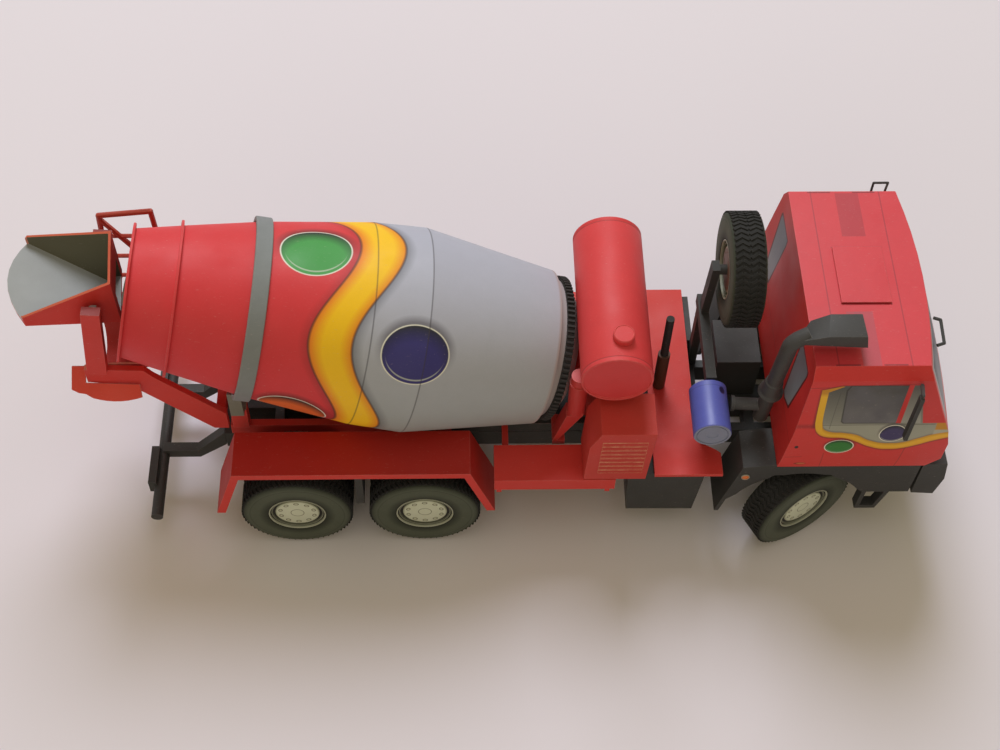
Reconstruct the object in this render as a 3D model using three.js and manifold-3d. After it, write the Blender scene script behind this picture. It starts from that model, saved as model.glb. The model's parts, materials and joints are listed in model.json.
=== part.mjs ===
// Concrete mixer truck, a hand-built card model at 1:32, as separate pieces.
// Millimetres, +Z up, +X towards the cab, +Y to the truck's left.
// Inside the truck group, x is measured from the rearmost axle and z from the ground.
import * as THREE from 'three';
import { mergeVertices } from 'three/addons/utils/BufferGeometryUtils.js';
import Module from 'manifold-3d';

const wasm = await Module();
wasm.setup();

// ---------- driving dimensions ----------
const GAP = 0.3;              // clearance between pieces that touch
const CARD = 0.8;             // thickness of a card wall
const TAIL_X = -80.5;         // rear lip of the hopper
const NOSE_X = 206.8;         // front face of the bumper

const WHEEL_RADIUS = 18;
const TYRE_WIDTH = 10.4;
const TWIN_GAP = 1.0;         // between the two tyres of a rear wheel
const RIM_RADIUS = 9.2;
const STUB_RADIUS = 1.6;      // axle stub in the hub
const WHEEL_SIDES = 24;
const HALF_TRACK = 39;        // outer face of the tyres
const AXLE_SPACING = 41.25;   // between the two rear axles
const FRONT_AXLE_X = 161.4;
const KING_PIN_OFFSET = 7.9;  // king pin to the outer face of the tyre
const STEER_ANGLE = 28;       // degrees, as it stands

const CHASSIS_HALF = 14;      // half width over the side rails
const CHASSIS_BOTTOM = 20.3;
const CHASSIS_TOP = 28;
const CHASSIS_REAR = -24;
const CHASSIS_FRONT = 197;
const RAIL_WIDTH = 3;
const BACKBONE_HALF = 4;
const SUBFRAME_TOP = 33;

const MUDGUARD_TOP = 43.4;
const SIDE_BOX_TOP = 36;

const DRUM_HEIGHT = 75.24;    // height of the drum axis above the rearmost axle
const DRUM_TILT = 13.3;       // degrees, mouth up
const MOUTH_S = -48.9;        // stations along the drum axis
const STIFFENER_S = -34.6;
const RING_S = -10.9;
const BELLY_REAR_S = 22.4;
const BELLY_FRONT_S = 39;
const NOSE_S = 80.7;
const MOUTH_RADIUS = 19.4;
const BELLY_RADIUS = 32.2;
const NOSE_RADIUS = 24.6;
const RING_SEAT = 26.9;        // drum radius under the running ring
const RING_RADIUS = 28.4;
const RING_WIDTH = 5;
const SHAFT_RADIUS = 4;
const SHAFT_END_S = 94;
const GEAR_RADIUS = 23.2;
const GEAR_WIDTH = 2.4;
const DRUM_SIDES = 36;

const ROOF_Z = 93.2;
const CAB_BOTTOM = 45.3;
const BELT_Z = 66;
const CAB_HALF = 39;

const TANK_RADIUS = 10.9;
const TANK_HALF = 27.2;
const TANK_X = 88.9 + TANK_RADIUS;
const TANK_Z = 66.7 + TANK_RADIUS;

const PLATFORM_Z = 37.8;
const PLATFORM_REAR = 114.3;
const PLATFORM_FRONT = 128.8;
const PLATFORM_WIDE = 136;

const SPARE_X = 134;          // rear face of the spare wheel
const SPARE_Y = 8;
const SPARE_Z = 86;

const truck = new THREE.Group();
truck.position.x = -(TAIL_X + NOSE_X) / 2;

// ---------- materials ----------
function paint(color, roughness = 0.6, metalness = 0) {
  return new THREE.MeshStandardMaterial({ color, roughness, metalness });
}
const RED = 0xc8302c;
const BLACK = 0x2c2b2b;
const TYRE = 0x3b3a38;
const GREY = 0x6c6f6c;
const SILVER = 0x9c9ea6;
const BLUE = 0x5a63b4;

// ---------- geometry helpers ----------
function toSolid(geometry) {
  const bare = geometry.index ? geometry.clone() : geometry;
  for (const key of Object.keys(bare.attributes)) {
    if (key !== 'position') bare.deleteAttribute(key);
  }
  const merged = mergeVertices(bare, 1e-4);
  const mesh = new wasm.Mesh({
    numProp: 3,
    vertProperties: new Float32Array(merged.attributes.position.array),
    triVerts: new Uint32Array(merged.index.array),
  });
  return new wasm.Manifold(mesh);
}

function toGeometry(solid) {
  const mesh = solid.getMesh();
  const geometry = new THREE.BufferGeometry();
  geometry.setAttribute('position', new THREE.BufferAttribute(mesh.vertProperties, 3));
  geometry.setIndex(new THREE.BufferAttribute(mesh.triVerts, 1));
  geometry.computeVertexNormals();
  return geometry;
}

function join(...pieces) {
  return toGeometry(pieces.map(toSolid).reduce((all, one) => all.add(one)));
}

function cut(piece, ...tools) {
  return toGeometry(tools.map(toSolid).reduce((left, tool) => left.subtract(tool), toSolid(piece)));
}

function common(...pieces) {
  return toGeometry(pieces.map(toSolid).reduce((all, one) => all.intersect(one)));
}

function shape(points) {
  return new THREE.Shape(points.map(([u, v]) => new THREE.Vector2(u, v)));
}

function extrude(points, depth) {
  return new THREE.ExtrudeGeometry(shape(points), { depth, bevelEnabled: false });
}

// an outline in x and z, from y0 to y1
function slabY(points, y0, y1) {
  const geometry = extrude(points, y1 - y0);
  geometry.rotateX(Math.PI / 2);
  return geometry.translate(0, y1, 0);
}

// an outline in y and z, from x0 to x1
function slabX(points, x0, x1) {
  const geometry = extrude(points, x1 - x0);
  const turn = new THREE.Matrix4().makeBasis(
    new THREE.Vector3(0, 1, 0),
    new THREE.Vector3(0, 0, 1),
    new THREE.Vector3(1, 0, 0),
  );
  return geometry.applyMatrix4(turn).translate(x0, 0, 0);
}

// an outline in x and y, from z0 to z1
function slabZ(points, z0, z1) {
  return extrude(points, z1 - z0).translate(0, 0, z0);
}

function box(x0, x1, y0, y1, z0, z1) {
  const geometry = new THREE.BoxGeometry(x1 - x0, y1 - y0, z1 - z0);
  return geometry.translate((x0 + x1) / 2, (y0 + y1) / 2, (z0 + z1) / 2);
}

// a round bar between two points
function rod(from, to, radius, sides = 16, endRadius = radius) {
  const start = new THREE.Vector3(...from);
  const end = new THREE.Vector3(...to);
  const along = end.clone().sub(start);
  const geometry = new THREE.CylinderGeometry(endRadius, radius, along.length(), sides);
  const up = new THREE.Vector3(0, 1, 0);
  geometry.applyQuaternion(new THREE.Quaternion().setFromUnitVectors(up, along.normalize()));
  const middle = start.add(end).multiplyScalar(0.5);
  return geometry.translate(middle.x, middle.y, middle.z);
}

// a round tube through points, with a ball at each bend
function tube(points, radius, sides = 8) {
  const pieces = [];
  for (let i = 0; i + 1 < points.length; i += 1) {
    pieces.push(rod(points[i], points[i + 1], radius, sides));
    if (i > 0) {
      const ball = new THREE.SphereGeometry(radius * 1.02, sides, 6);
      pieces.push(ball.translate(...points[i]));
    }
  }
  return join(...pieces);
}

// a turned piece: profile of [radius, height] pairs, height along +Z
function turned(profile, sides) {
  const points = profile.map(([radius, height]) => new THREE.Vector2(radius, height));
  const geometry = new THREE.LatheGeometry(points, sides);
  return geometry.rotateX(Math.PI / 2);
}

// closed solid through rings of points with the same count, first ring lowest
function loft(rings) {
  const count = rings[0].length;
  const positions = rings.flat(2);
  const index = [];
  for (let level = 0; level + 1 < rings.length; level += 1) {
    for (let i = 0; i < count; i += 1) {
      const a = level * count + i;
      const b = level * count + ((i + 1) % count);
      index.push(a, b, b + count, a, b + count, a + count);
    }
  }
  const last = (rings.length - 1) * count;
  for (let i = 1; i + 1 < count; i += 1) {
    index.push(0, i + 1, i);
    index.push(last, last + i, last + i + 1);
  }
  const geometry = new THREE.BufferGeometry();
  geometry.setAttribute('position', new THREE.Float32BufferAttribute(positions, 3));
  geometry.setIndex(index);
  geometry.computeVertexNormals();
  return geometry;
}

function add(name, geometry, material, parent = truck) {
  const mesh = new THREE.Mesh(geometry, material);
  mesh.name = name;
  parent.add(mesh);
  return mesh;
}

const SIDES = [['right', -1], ['left', 1]];

// y limits of a slab on one side, given its inner and outer distance from the middle
function span(side, inner, outer) {
  return side > 0 ? [inner, outer] : [-outer, -inner];
}

// ---------- wheels ----------
// heights run inwards from the outer face of the tyre
function tyreProfile(start) {
  const end = start + TYRE_WIDTH;
  const shoulder = WHEEL_RADIUS - 1.0;
  return {
    outer: [[RIM_RADIUS, start + 0.5], [shoulder, start], [WHEEL_RADIUS, start + 1.4]],
    inner: [[WHEEL_RADIUS, end - 1.4], [shoulder, end], [RIM_RADIUS, end - 0.5]],
  };
}

function wheelGeometry(twin) {
  const first = tyreProfile(0);
  const second = tyreProfile(TYRE_WIDTH + TWIN_GAP);
  const treads = twin
    ? [...first.outer, ...first.inner.slice(0, 2), [RIM_RADIUS + 3, TYRE_WIDTH],
      [RIM_RADIUS + 3, TYRE_WIDTH + TWIN_GAP], ...second.outer.slice(1), ...second.inner]
    : [...first.outer, ...first.inner];
  const depth = twin ? 2 * TYRE_WIDTH + TWIN_GAP : TYRE_WIDTH;
  const bore = STUB_RADIUS + GAP;
  const cavity = RIM_RADIUS - CARD;
  const disc = [
    [cavity, depth - 0.5], [cavity, 3.4], [3, 3.4], [3, 4.6], [bore, 4.6],
    [bore, 1.0], [2.4, 1.0], [2.4, 1.8], [7.4, 1.8], [7.8, 0.6], [RIM_RADIUS, 0.5],
  ];
  const profile = [...treads, ...disc.slice(0, -1), treads[0]];
  return turned(profile, WHEEL_SIDES);
}

// a wheel group whose outer face looks along side times +Y
function addWheel(name, twin, x, faceY, side, parent = truck, turnZ = 0) {
  const geometry = wheelGeometry(twin);
  // the height axis runs from the outer face inwards, towards -side times Y
  geometry.rotateX((side * Math.PI) / 2);
  const wheel = add(name, geometry, paint(TYRE, 0.85), parent);
  wheel.position.set(x, faceY, WHEEL_RADIUS);
  wheel.rotation.z = turnZ;
  return wheel;
}

const rearAxles = [['rear', 0], ['middle', AXLE_SPACING]];
for (const [row, x] of rearAxles) {
  for (const [sideName, side] of SIDES) {
    addWheel(`wheel_${row}_${sideName}`, true, x, side * HALF_TRACK, side);
  }
  const stubEnd = HALF_TRACK - 1.2;
  const beamHalf = HALF_TRACK - 2 * TYRE_WIDTH - TWIN_GAP - 1.2;
  const low = WHEEL_RADIUS - 2;
  const top = CHASSIS_BOTTOM - GAP;
  const beam = [
    [-beamHalf, low], [-8, low], [-4, low - 5], [4, low - 5], [8, low],
    [beamHalf, low], [beamHalf, top], [-beamHalf, top],
  ];
  const shaft = rod([x, -stubEnd, WHEEL_RADIUS], [x, stubEnd, WHEEL_RADIUS], STUB_RADIUS);
  add(`axle_${row}`, join(slabX(beam, x - 2.5, x + 2.5), shaft), paint(BLACK, 0.8));
}

// ---------- front axle and steering ----------
const kingPinY = HALF_TRACK - KING_PIN_OFFSET + 0.4;
const PIN_RADIUS = 2.4;
{
  const low = WHEEL_RADIUS - 2;
  const top = CHASSIS_BOTTOM - GAP;
  const beam = [
    [-kingPinY, low], [-10, low], [-6, low - 4], [6, low - 4], [10, low],
    [kingPinY, low], [kingPinY, top], [-kingPinY, top],
  ];
  const pins = SIDES.map(([, side]) => rod(
    [FRONT_AXLE_X, side * kingPinY, low - 8],
    [FRONT_AXLE_X, side * kingPinY, top + 8],
    PIN_RADIUS + GAP,
    20,
  ));
  add('axle_front', cut(slabX(beam, FRONT_AXLE_X - 1.6, FRONT_AXLE_X + 1.6), ...pins), paint(BLACK, 0.8));
}
for (const [sideName, side] of SIDES) {
  const steering = new THREE.Group();
  steering.position.set(FRONT_AXLE_X, side * kingPinY, 0);
  steering.rotation.z = (STEER_ANGLE * Math.PI) / 180;
  truck.add(steering);
  const faceY = side * KING_PIN_OFFSET;
  const pin = rod([0, 0, WHEEL_RADIUS - 5], [0, 0, WHEEL_RADIUS + 5], PIN_RADIUS, 20);
  const stub = rod([0, 0, WHEEL_RADIUS], [0, faceY - side * 1.2, WHEEL_RADIUS], STUB_RADIUS);
  add(`knuckle_${sideName}`, join(pin, stub), paint(BLACK, 0.8), steering);
  addWheel(`wheel_front_${sideName}`, false, 0, faceY, side, steering);
}

// ---------- chassis ----------
{
  const [half, low, top] = [CHASSIS_HALF, CHASSIS_BOTTOM, CHASSIS_TOP];
  const whole = box(CHASSIS_REAR, CHASSIS_FRONT, -half, half, low, top);
  const bays = [-20, -5, 12, 29, 50, 66, 88, 110, 132, 150, 172, 192];
  const cross = 3;
  const holes = [];
  for (let i = 0; i + 1 < bays.length; i += 1) {
    for (const [, side] of SIDES) {
      const [y0, y1] = span(side, BACKBONE_HALF, CHASSIS_HALF - RAIL_WIDTH);
      holes.push(box(bays[i], bays[i + 1] - cross, y0, y1, low - 1, top + 1));
    }
  }
  const ladder = cut(whole, ...holes);
  // arms between the rear wheels that carry the mudguards
  const postX = AXLE_SPACING / 2;
  const postTop = MUDGUARD_TOP - CARD - GAP;
  const posts = SIDES.map(([, side]) => {
    const reach = (y) => side * y;
    const outline = [
      [reach(CHASSIS_HALF - 1), 22], [reach(37), 22], [reach(37), postTop], [reach(24), postTop],
      [reach(24), 26.5], [reach(CHASSIS_HALF - 1), 26.5],
    ];
    return slabX(side > 0 ? outline : outline.reverse(), postX - 1.2, postX + 1.2);
  });
  add('chassis_frame', join(ladder, ...posts), paint(BLACK, 0.8));
}

// ---------- red subframe under the drum ----------
{
  const inner = CHASSIS_HALF - 2.5;
  const whole = box(-21.5, 104, -CHASSIS_HALF, CHASSIS_HALF, CHASSIS_TOP + GAP, SUBFRAME_TOP);
  const bays = [-19.5, 20, 60, 86, 103];
  const holes = [];
  for (let i = 0; i + 1 < bays.length; i += 1) {
    holes.push(box(bays[i], bays[i + 1] - 2.5, -inner, inner, CHASSIS_TOP, SUBFRAME_TOP + 1));
  }
  // the cross members lie low, clear of the drum
  const relief = box(-19, 84, -inner, inner, 31, 40);
  add('subframe', cut(whole, ...holes, relief), paint(RED));
}

// ---------- rear mudguards ----------
for (const [sideName, side] of SIDES) {
  const top = MUDGUARD_TOP;
  const [rearFoot, rearKnee] = [-25.6, -18.4];
  const frontFoot = AXLE_SPACING + 22.75;
  const frontKnee = frontFoot - 8.1;
  const low = 20;
  const line = [[rearFoot, low], [rearKnee, top], [frontKnee, top], [frontFoot, low]];
  // the same line again, a depth further in
  const within = (depth) => [
    [frontFoot - depth * 1.07, low], [frontKnee - depth * 0.72, top - depth],
    [rearKnee + depth * 0.75, top - depth], [rearFoot + depth * 1.07, low],
  ];
  const [y0, y1] = span(side, 23, HALF_TRACK);
  const [e0, e1] = span(side, HALF_TRACK - CARD, HALF_TRACK);
  const sheet = slabY([...line, ...within(CARD)], y0, y1);
  const edge = slabY([...line, ...within(2.6)], e0, e1);
  add(`mudguard_rear_${sideName}`, join(sheet, edge), paint(RED));
}

// ---------- side boxes ----------
for (const [sideName, side] of SIDES) {
  const [y0, y1] = span(side, 24, 37.2);
  const [c0, c1] = span(side, CHASSIS_HALF + GAP, 24.5);
  const [f0, f1] = span(side, 35.4, 36.6);
  const rear = AXLE_SPACING + 22.3;
  const shell = box(rear, 102, y0, y1, 30.3, SIDE_BOX_TOP);
  const carriers = [rear + 2.8, 98].map((x) => box(x, x + 2, c0, c1, 31, 34));
  const feet = [rear + 0.8, 99].map((x) => box(x, x + 1.6, f0, f1, 27.8, 30.8));
  add(`side_box_${sideName}`, join(shell, ...carriers, ...feet), paint(RED));
}

// ---------- drum, on its inclined axis ----------
const tilt = (DRUM_TILT * Math.PI) / 180;
const drum = new THREE.Group();
drum.position.set(0, 0, DRUM_HEIGHT);
drum.rotation.y = Math.PI / 2 + tilt;
truck.add(drum);
// inside this group, +Z runs down the axis towards the cab

function drumPoint(station, radius = 0) {
  return [
    station * Math.cos(tilt) - radius * Math.sin(tilt),
    DRUM_HEIGHT - station * Math.sin(tilt) - radius * Math.cos(tilt),
  ];
}

const drumOutside = [
  [MOUTH_RADIUS, MOUTH_S], [22.3, STIFFENER_S], [RING_SEAT, RING_S], [31.5, BELLY_REAR_S],
  [BELLY_RADIUS, BELLY_FRONT_S], [NOSE_RADIUS, NOSE_S],
];
{
  const flange = (radius, station, height) => [
    [radius, station - CARD / 2], [radius + height, station - CARD / 2],
    [radius + height, station + CARD / 2], [radius + 0.15, station + CARD / 2],
  ];
  const wall = 1;
  const outside = [
    [0, SHAFT_END_S], [SHAFT_RADIUS, SHAFT_END_S], [SHAFT_RADIUS, 88.6], [17, 88.6],
    [21.8, NOSE_S + GEAR_WIDTH + 2.5], [21.8, NOSE_S + 0.6], [NOSE_RADIUS, NOSE_S],
    [BELLY_RADIUS, BELLY_FRONT_S], [31.5, BELLY_REAR_S], [RING_SEAT, RING_S],
    ...flange(22.2, STIFFENER_S, 1.8).reverse(),
    ...flange(MOUTH_RADIUS, MOUTH_S + CARD / 2, 1.8).reverse(),
  ];
  const inside = [
    [MOUTH_RADIUS - wall, MOUTH_S], [22.3 - wall, STIFFENER_S], [RING_SEAT - wall, RING_S],
    [31.5 - wall, BELLY_REAR_S], [BELLY_RADIUS - wall, BELLY_FRONT_S],
    [NOSE_RADIUS - 2 * wall - 2, NOSE_S], [17 - wall, 87.6], [0, 87.6],
  ];
  add('drum_shell', turned([...outside, ...inside].reverse(), DRUM_SIDES), paint(SILVER, 0.5), drum);
  const ringHole = RING_SEAT + 0.07 * RING_WIDTH + GAP;
  const ring = [
    [ringHole, RING_S - RING_WIDTH / 2], [RING_RADIUS, RING_S - RING_WIDTH / 2],
    [RING_RADIUS, RING_S + RING_WIDTH / 2], [ringHole, RING_S + RING_WIDTH / 2],
  ];
  add('drum_ring', turned([...ring, ring[0]], DRUM_SIDES), paint(GREY, 0.5), drum);
  const gearStart = NOSE_S + 2.4;
  const gear = [
    [21.8 + GAP, gearStart], [GEAR_RADIUS, gearStart],
    [GEAR_RADIUS, gearStart + GEAR_WIDTH], [21.8 + GAP, gearStart + GEAR_WIDTH],
  ];
  add('drum_gear', turned([...gear, gear[0]], DRUM_SIDES), paint(BLACK, 0.7), drum);
}

// ---------- drum supports ----------
const axisPoint = (station) => {
  const [x, z] = drumPoint(station);
  return [x, 0, z];
};
for (const [sideName, side] of SIDES) {
  const [y0, y1] = span(side, CHASSIS_HALF - 2.5, CHASSIS_HALF + 3);
  const [p0, p1] = span(side, CHASSIS_HALF - 2.5, CHASSIS_HALF + 1);
  const pedestal = box(-20.4, -15.2, p0, p1, SUBFRAME_TOP + GAP, 44);
  const block = box(-19.9, -15.7, y0, y1, 43.5, 58);
  const ringPath = rod(axisPoint(RING_S - 8), axisPoint(RING_S + 8), RING_RADIUS + 0.4, 64);
  add(`roller_post_${sideName}`, cut(join(pedestal, block), ringPath), paint(GREY, 0.6));
}
{
  const base = box(88.5, 99.5, -11.2, 11.2, SUBFRAME_TOP + GAP, 62);
  const slope = slabY([[80, 33], [89.5, 33], [87, 62.5], [80, 62.5]], -20, 20);
  const socket = rod(axisPoint(60), axisPoint(SHAFT_END_S + GAP), SHAFT_RADIUS + GAP, 32);
  const endRelief = rod(axisPoint(60), axisPoint(89.2), 19, 32);
  add('drum_drive', cut(base, slope, socket, endRelief), paint(RED));
}

// ---------- tail: frame, columns and wings ----------
const TAIL_INNER = CHASSIS_HALF - 1.1;   // inner face of the tail's side plates
{
  const plates = SIDES.map(([, side]) => {
    const [y0, y1] = span(side, TAIL_INNER, CHASSIS_HALF + 1);
    const outline = [
      [-62, 60.5], [-49.5, 58.6], [-26.5, SUBFRAME_TOP + GAP],
      [-21.8, SUBFRAME_TOP + GAP], [-21.8, 41.6], [-41.8, 63], [-44, 66.4], [-62, 67.2],
    ];
    return slabY(outline, y0, y1);
  });
  const columns = SIDES.map(([, side]) => {
    const [y0, y1] = span(side, TAIL_INNER, CHASSIS_HALF + 2);
    return slabY([[-61, 66.5], [-55, 66], [-51.6, 96.5], [-57.1, 97]], y0, y1);
  });
  const crossFront = box(-25.5, -22.5, -TAIL_INNER - 0.5, TAIL_INNER + 0.5, 36, 40);
  add('tail_frame', join(...plates, ...columns, crossFront), paint(RED));
}

// the trough below the mouth, open at the top
{
  const radius = TAIL_INNER - 0.4;
  const half = [];
  const steps = 12;
  for (let i = 0; i <= steps; i += 1) {
    const angle = Math.PI + (Math.PI * i) / steps;
    half.push([radius * Math.cos(angle), radius * Math.sin(angle)]);
  }
  const inner = half.map(([y, z]) => [(y * (radius - CARD)) / radius, (z * (radius - CARD)) / radius]);
  const trough = slabX([...half, ...inner.reverse()], -62.2, -45);
  trough.translate(52, 0, 0).rotateY(-0.22).translate(-52, 0, 67);
  const floorCut = box(-70, -40, -14, 14, 66.4, 90);
  add('discharge_trough', cut(trough, floorCut), paint(RED));
}

// flared wings outside the trough, under the side plates
for (const [sideName, side] of SIDES) {
  const outline = [[-66.6, 0], [-62.5, 0], [-62.5, 5.9], [-46, 5.9], [-45.4, 10]];
  const steps = 10;
  for (let i = 1; i <= steps; i += 1) {
    const share = i / steps;
    const x = -45.4 - 21.6 * share;
    outline.push([x, 7.4 + 2.6 * (1 - share) + 9.4 * share * (1 - share)]);
  }
  // the outline's second value runs down and outwards at 45 degrees
  const wing = extrude(outline.reverse(), CARD).translate(0, 0, side > 0 ? 0 : -CARD);
  const down = new THREE.Vector3(0, side, -1).normalize();
  const across = new THREE.Vector3(1, 0, 0);
  const normal = across.clone().cross(down);
  wing.applyMatrix4(new THREE.Matrix4().makeBasis(across, down, normal));
  wing.translate(0, side * (TAIL_INNER - 1.7), 64);
  add(`discharge_wing_${sideName}`, wing, paint(RED));
}

// ---------- hopper and feed chute ----------
const HOPPER_FRONT = -49.3;
const HOPPER_CORNER = -75.2;
const HOPPER_TWIST = 6;         // degrees about the vertical, as it is glued
const HOPPER_MIDDLE = -62;
const HOPPER_REAR_HALF = TAIL_INNER + 2.5;
const HOPPER_FRONT_HALF = TAIL_INNER - 3;
function hopperPlan(inset, beyond) {
  const rear = HOPPER_REAR_HALF - inset;
  const front = HOPPER_FRONT_HALF - inset;
  const points = [[HOPPER_FRONT - inset, -front], [HOPPER_FRONT - inset, front], [HOPPER_CORNER, rear]];
  const steps = 8;
  for (let i = 1; i < steps; i += 1) {
    const share = 1 - (2 * i) / steps;
    const bulge = (HOPPER_CORNER - TAIL_X + beyond) * (1 - share * share);
    points.push([HOPPER_CORNER - beyond - bulge, rear * share]);
  }
  points.push([HOPPER_CORNER, -rear]);
  return points.reverse();
}
{
  const floorAt = (x) => 94.6 - ((x - TAIL_X) * 11.6) / 31.2;
  const rimAt = (x) => 95.6 + ((x - TAIL_X) * 6.4) / 31.2;
  const ends = [TAIL_X - 1, HOPPER_FRONT + 3];
  const body = slabY(
    [[ends[0], floorAt(ends[0])], [ends[1], floorAt(ends[1])], [ends[1], rimAt(ends[1])],
      [ends[0], rimAt(ends[0])]],
    -30,
    30,
  );
  // the space inside: a sloping floor, and sides that lean in towards it
  const front = HOPPER_FRONT - CARD;
  const floorHalf = 3;
  const rimHalf = HOPPER_FRONT_HALF - CARD;
  const lean = (rimHalf - floorHalf) / (rimAt(front) - floorAt(front) - 1);
  const taper = (HOPPER_REAR_HALF - CARD - floorHalf) / (front - HOPPER_CORNER);
  const halfAt = (x, z) => floorHalf + taper * (front - x) + lean * (z - floorAt(x) - 1);
  const corners = (x, z) => [[x, -halfAt(x, z), z], [x, halfAt(x, z), z]];
  const square = (height) => {
    const [rearRight, rearLeft] = corners(ends[0], height(ends[0]));
    const [frontRight, frontLeft] = corners(front, height(front));
    return [rearRight, frontRight, frontLeft, rearLeft];
  };
  const space = loft([square((x) => floorAt(x) + 1), square(() => 125)]);
  const outside = common(slabZ(hopperPlan(0, 0), 60, 130), body);
  const inside = common(slabZ(hopperPlan(CARD, 6), 60, 130), space);
  const window = box(front - 1, HOPPER_FRONT + 3, -6.6, 6.6, floorAt(HOPPER_FRONT) + 1.2, 93);
  const shell = cut(outside, inside, window).translate(-HOPPER_MIDDLE, 0, 0);
  shell.rotateZ((HOPPER_TWIST * Math.PI) / 180).translate(HOPPER_MIDDLE, 0, 0);
  const ears = SIDES.map(([, side]) => {
    const [y0, y1] = span(side, TAIL_INNER - 2.3, TAIL_INNER - GAP);
    return box(-55.6, -53.4, y0, y1, 91, 94.5);
  });
  add('hopper', join(shell, ...ears), paint(GREY));
}
{
  const radius = 7.6;
  const steps = 10;
  const under = [];
  for (let i = 0; i <= steps; i += 1) {
    const angle = Math.PI + (Math.PI * i) / steps;
    under.push([radius * Math.cos(angle), radius * Math.sin(angle)]);
  }
  const over = under.map(([y, z]) => [(y * (radius - CARD)) / radius, (z * (radius - CARD)) / radius]);
  const chute = slabX([...under, ...over.reverse()], 0, 13);
  chute.rotateY(0.42).translate(HOPPER_FRONT + GAP + 3.2, 0, 92);
  add('feed_chute', chute, paint(GREY));
}

// ---------- ladder and handrail on the left of the tail ----------
{
  const y = 27;
  const railRadius = 0.8;
  const rail = tube([[-60, y, 60], [-58.2, y, 90], [-42, y, 92], [-41, y, 60]], railRadius);
  const brace = rod([-58, y, 88], [-50, y, 74], railRadius, 8);
  const middle = rod([-50, y, 60], [-50, y, 74], railRadius, 8);
  const rungs = [60, 70, 80].map((z) => rod([-60 + (z - 60) * 0.06, y, z], [-41.2, y, z], 0.6, 6));
  const carriers = [-57, -46].map((x) => rod([x, CHASSIS_HALF + 1 + GAP, 61.5], [x, y, 60], 0.9, 8));
  add('ladder', join(rail, brace, middle, ...rungs, ...carriers), paint(RED));
}

// ---------- rear underrun bar ----------
{
  const bar = rod([-46, -37, 14], [-46, 37, 14], 1.95, 16);
  const arms = SIDES.map(([, side]) => {
    const [y0, y1] = span(side, 10, 13.4);
    const outline = [
      [-46, 12.6], [-34, 12.6], [CHASSIS_REAR - GAP, 20.6], [CHASSIS_REAR - GAP, 27.6],
      [-34.5, 16.4], [-46, 16.4],
    ];
    return slabY(outline, y0, y1);
  });
  const lampPlates = SIDES.map(([, side]) => {
    const [y0, y1] = span(side, 12, 26);
    return box(-49.6, -47, y0, y1, 11.6, 17.4);
  });
  add('underrun_bar', join(bar, ...arms, ...lampPlates), paint(BLACK, 0.7));
}

// ---------- middle of the truck: platform, boxes, tank ----------
{
  const outline = [
    [PLATFORM_REAR, -36.6], [PLATFORM_WIDE, -36.6], [PLATFORM_WIDE, -28.6], [134.6, -27.4],
    [PLATFORM_FRONT, -24], [PLATFORM_FRONT, 36.6], [PLATFORM_REAR, 36.6],
  ];
  add('platform', slabZ(outline, PLATFORM_Z - 1.3, PLATFORM_Z), paint(RED));
  const under = PLATFORM_Z - 1.3 - GAP;
  const frame = box(116, 127, -34.6, 34.6, CHASSIS_TOP + GAP, under);
  const boxes = SIDES.map(([, side]) => {
    const [y0, y1] = span(side, 16.5, 34.8);
    return slabY([[107.2, 13], [129, 12.6], [131, under], [106.2, 35]], y0, y1);
  });
  add('battery_boxes', join(frame, ...boxes), paint(BLACK, 0.8));
}
{
  const low = SIDE_BOX_TOP + GAP;
  const outline = [[91.6, low], [111.4, low], [112.8, 62.8], [95.8, 62.8], [92.5, 55.4]];
  add('cooler_box', slabY(outline, -37.2, -22), paint(RED));
}
{
  const drumOfTank = rod([TANK_X, -TANK_HALF, TANK_Z], [TANK_X, TANK_HALF, TANK_Z], TANK_RADIUS, 40);
  const capX = TANK_X + 1.5;
  const capTop = TANK_Z + TANK_RADIUS + 2.2;
  const cap = rod([capX, -19, TANK_Z + 9], [capX, -19, capTop], 3.3, 24);
  add('water_tank', join(drumOfTank, cap), paint(RED));
  const saddle = SIDES.map(([, side]) => {
    const [y0, y1] = span(side, 11.5, 14);
    return box(100, 107, y0, y1, SUBFRAME_TOP + GAP, 74);
  });
  const tie = box(100.5, 106.5, -14, 14, 60, 64);
  const bed = rod([TANK_X, -30, TANK_Z], [TANK_X, 30, TANK_Z], TANK_RADIUS + GAP, 40);
  add('tank_stand', cut(join(...saddle, tie), bed), paint(RED));
}
{
  const x = 89.5;
  const y = -19.5;
  const pot = rod([x, y, 50], [x, y, 65.5], 3, 24);
  const cap = rod([x, y, 65.4], [x, y, 69], 2.6, 24);
  const plate = slabY([[86.3, 49.9], [82.5, 35.2], [83.5, 34.6], [91.5, 50.4], [91.5, 51]], y - 2.6, y + 2.6);
  const foot = box(82.5, 86.5, y - 2.6, -CHASSIS_HALF + 2, SUBFRAME_TOP + GAP, 35.4);
  add('oil_pot', join(pot, cap, plate, foot), paint(RED));
}
{
  const x = 118;
  const y = -2.6;
  const lower = rod([x, y, PLATFORM_Z + GAP], [x, y, 56], 2, 16);
  const upper = rod([x, y, 55.5], [x, y, 75], 1.3, 16);
  add('exhaust_pipe', join(lower, upper), paint(BLACK, 0.7));
}

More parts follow.
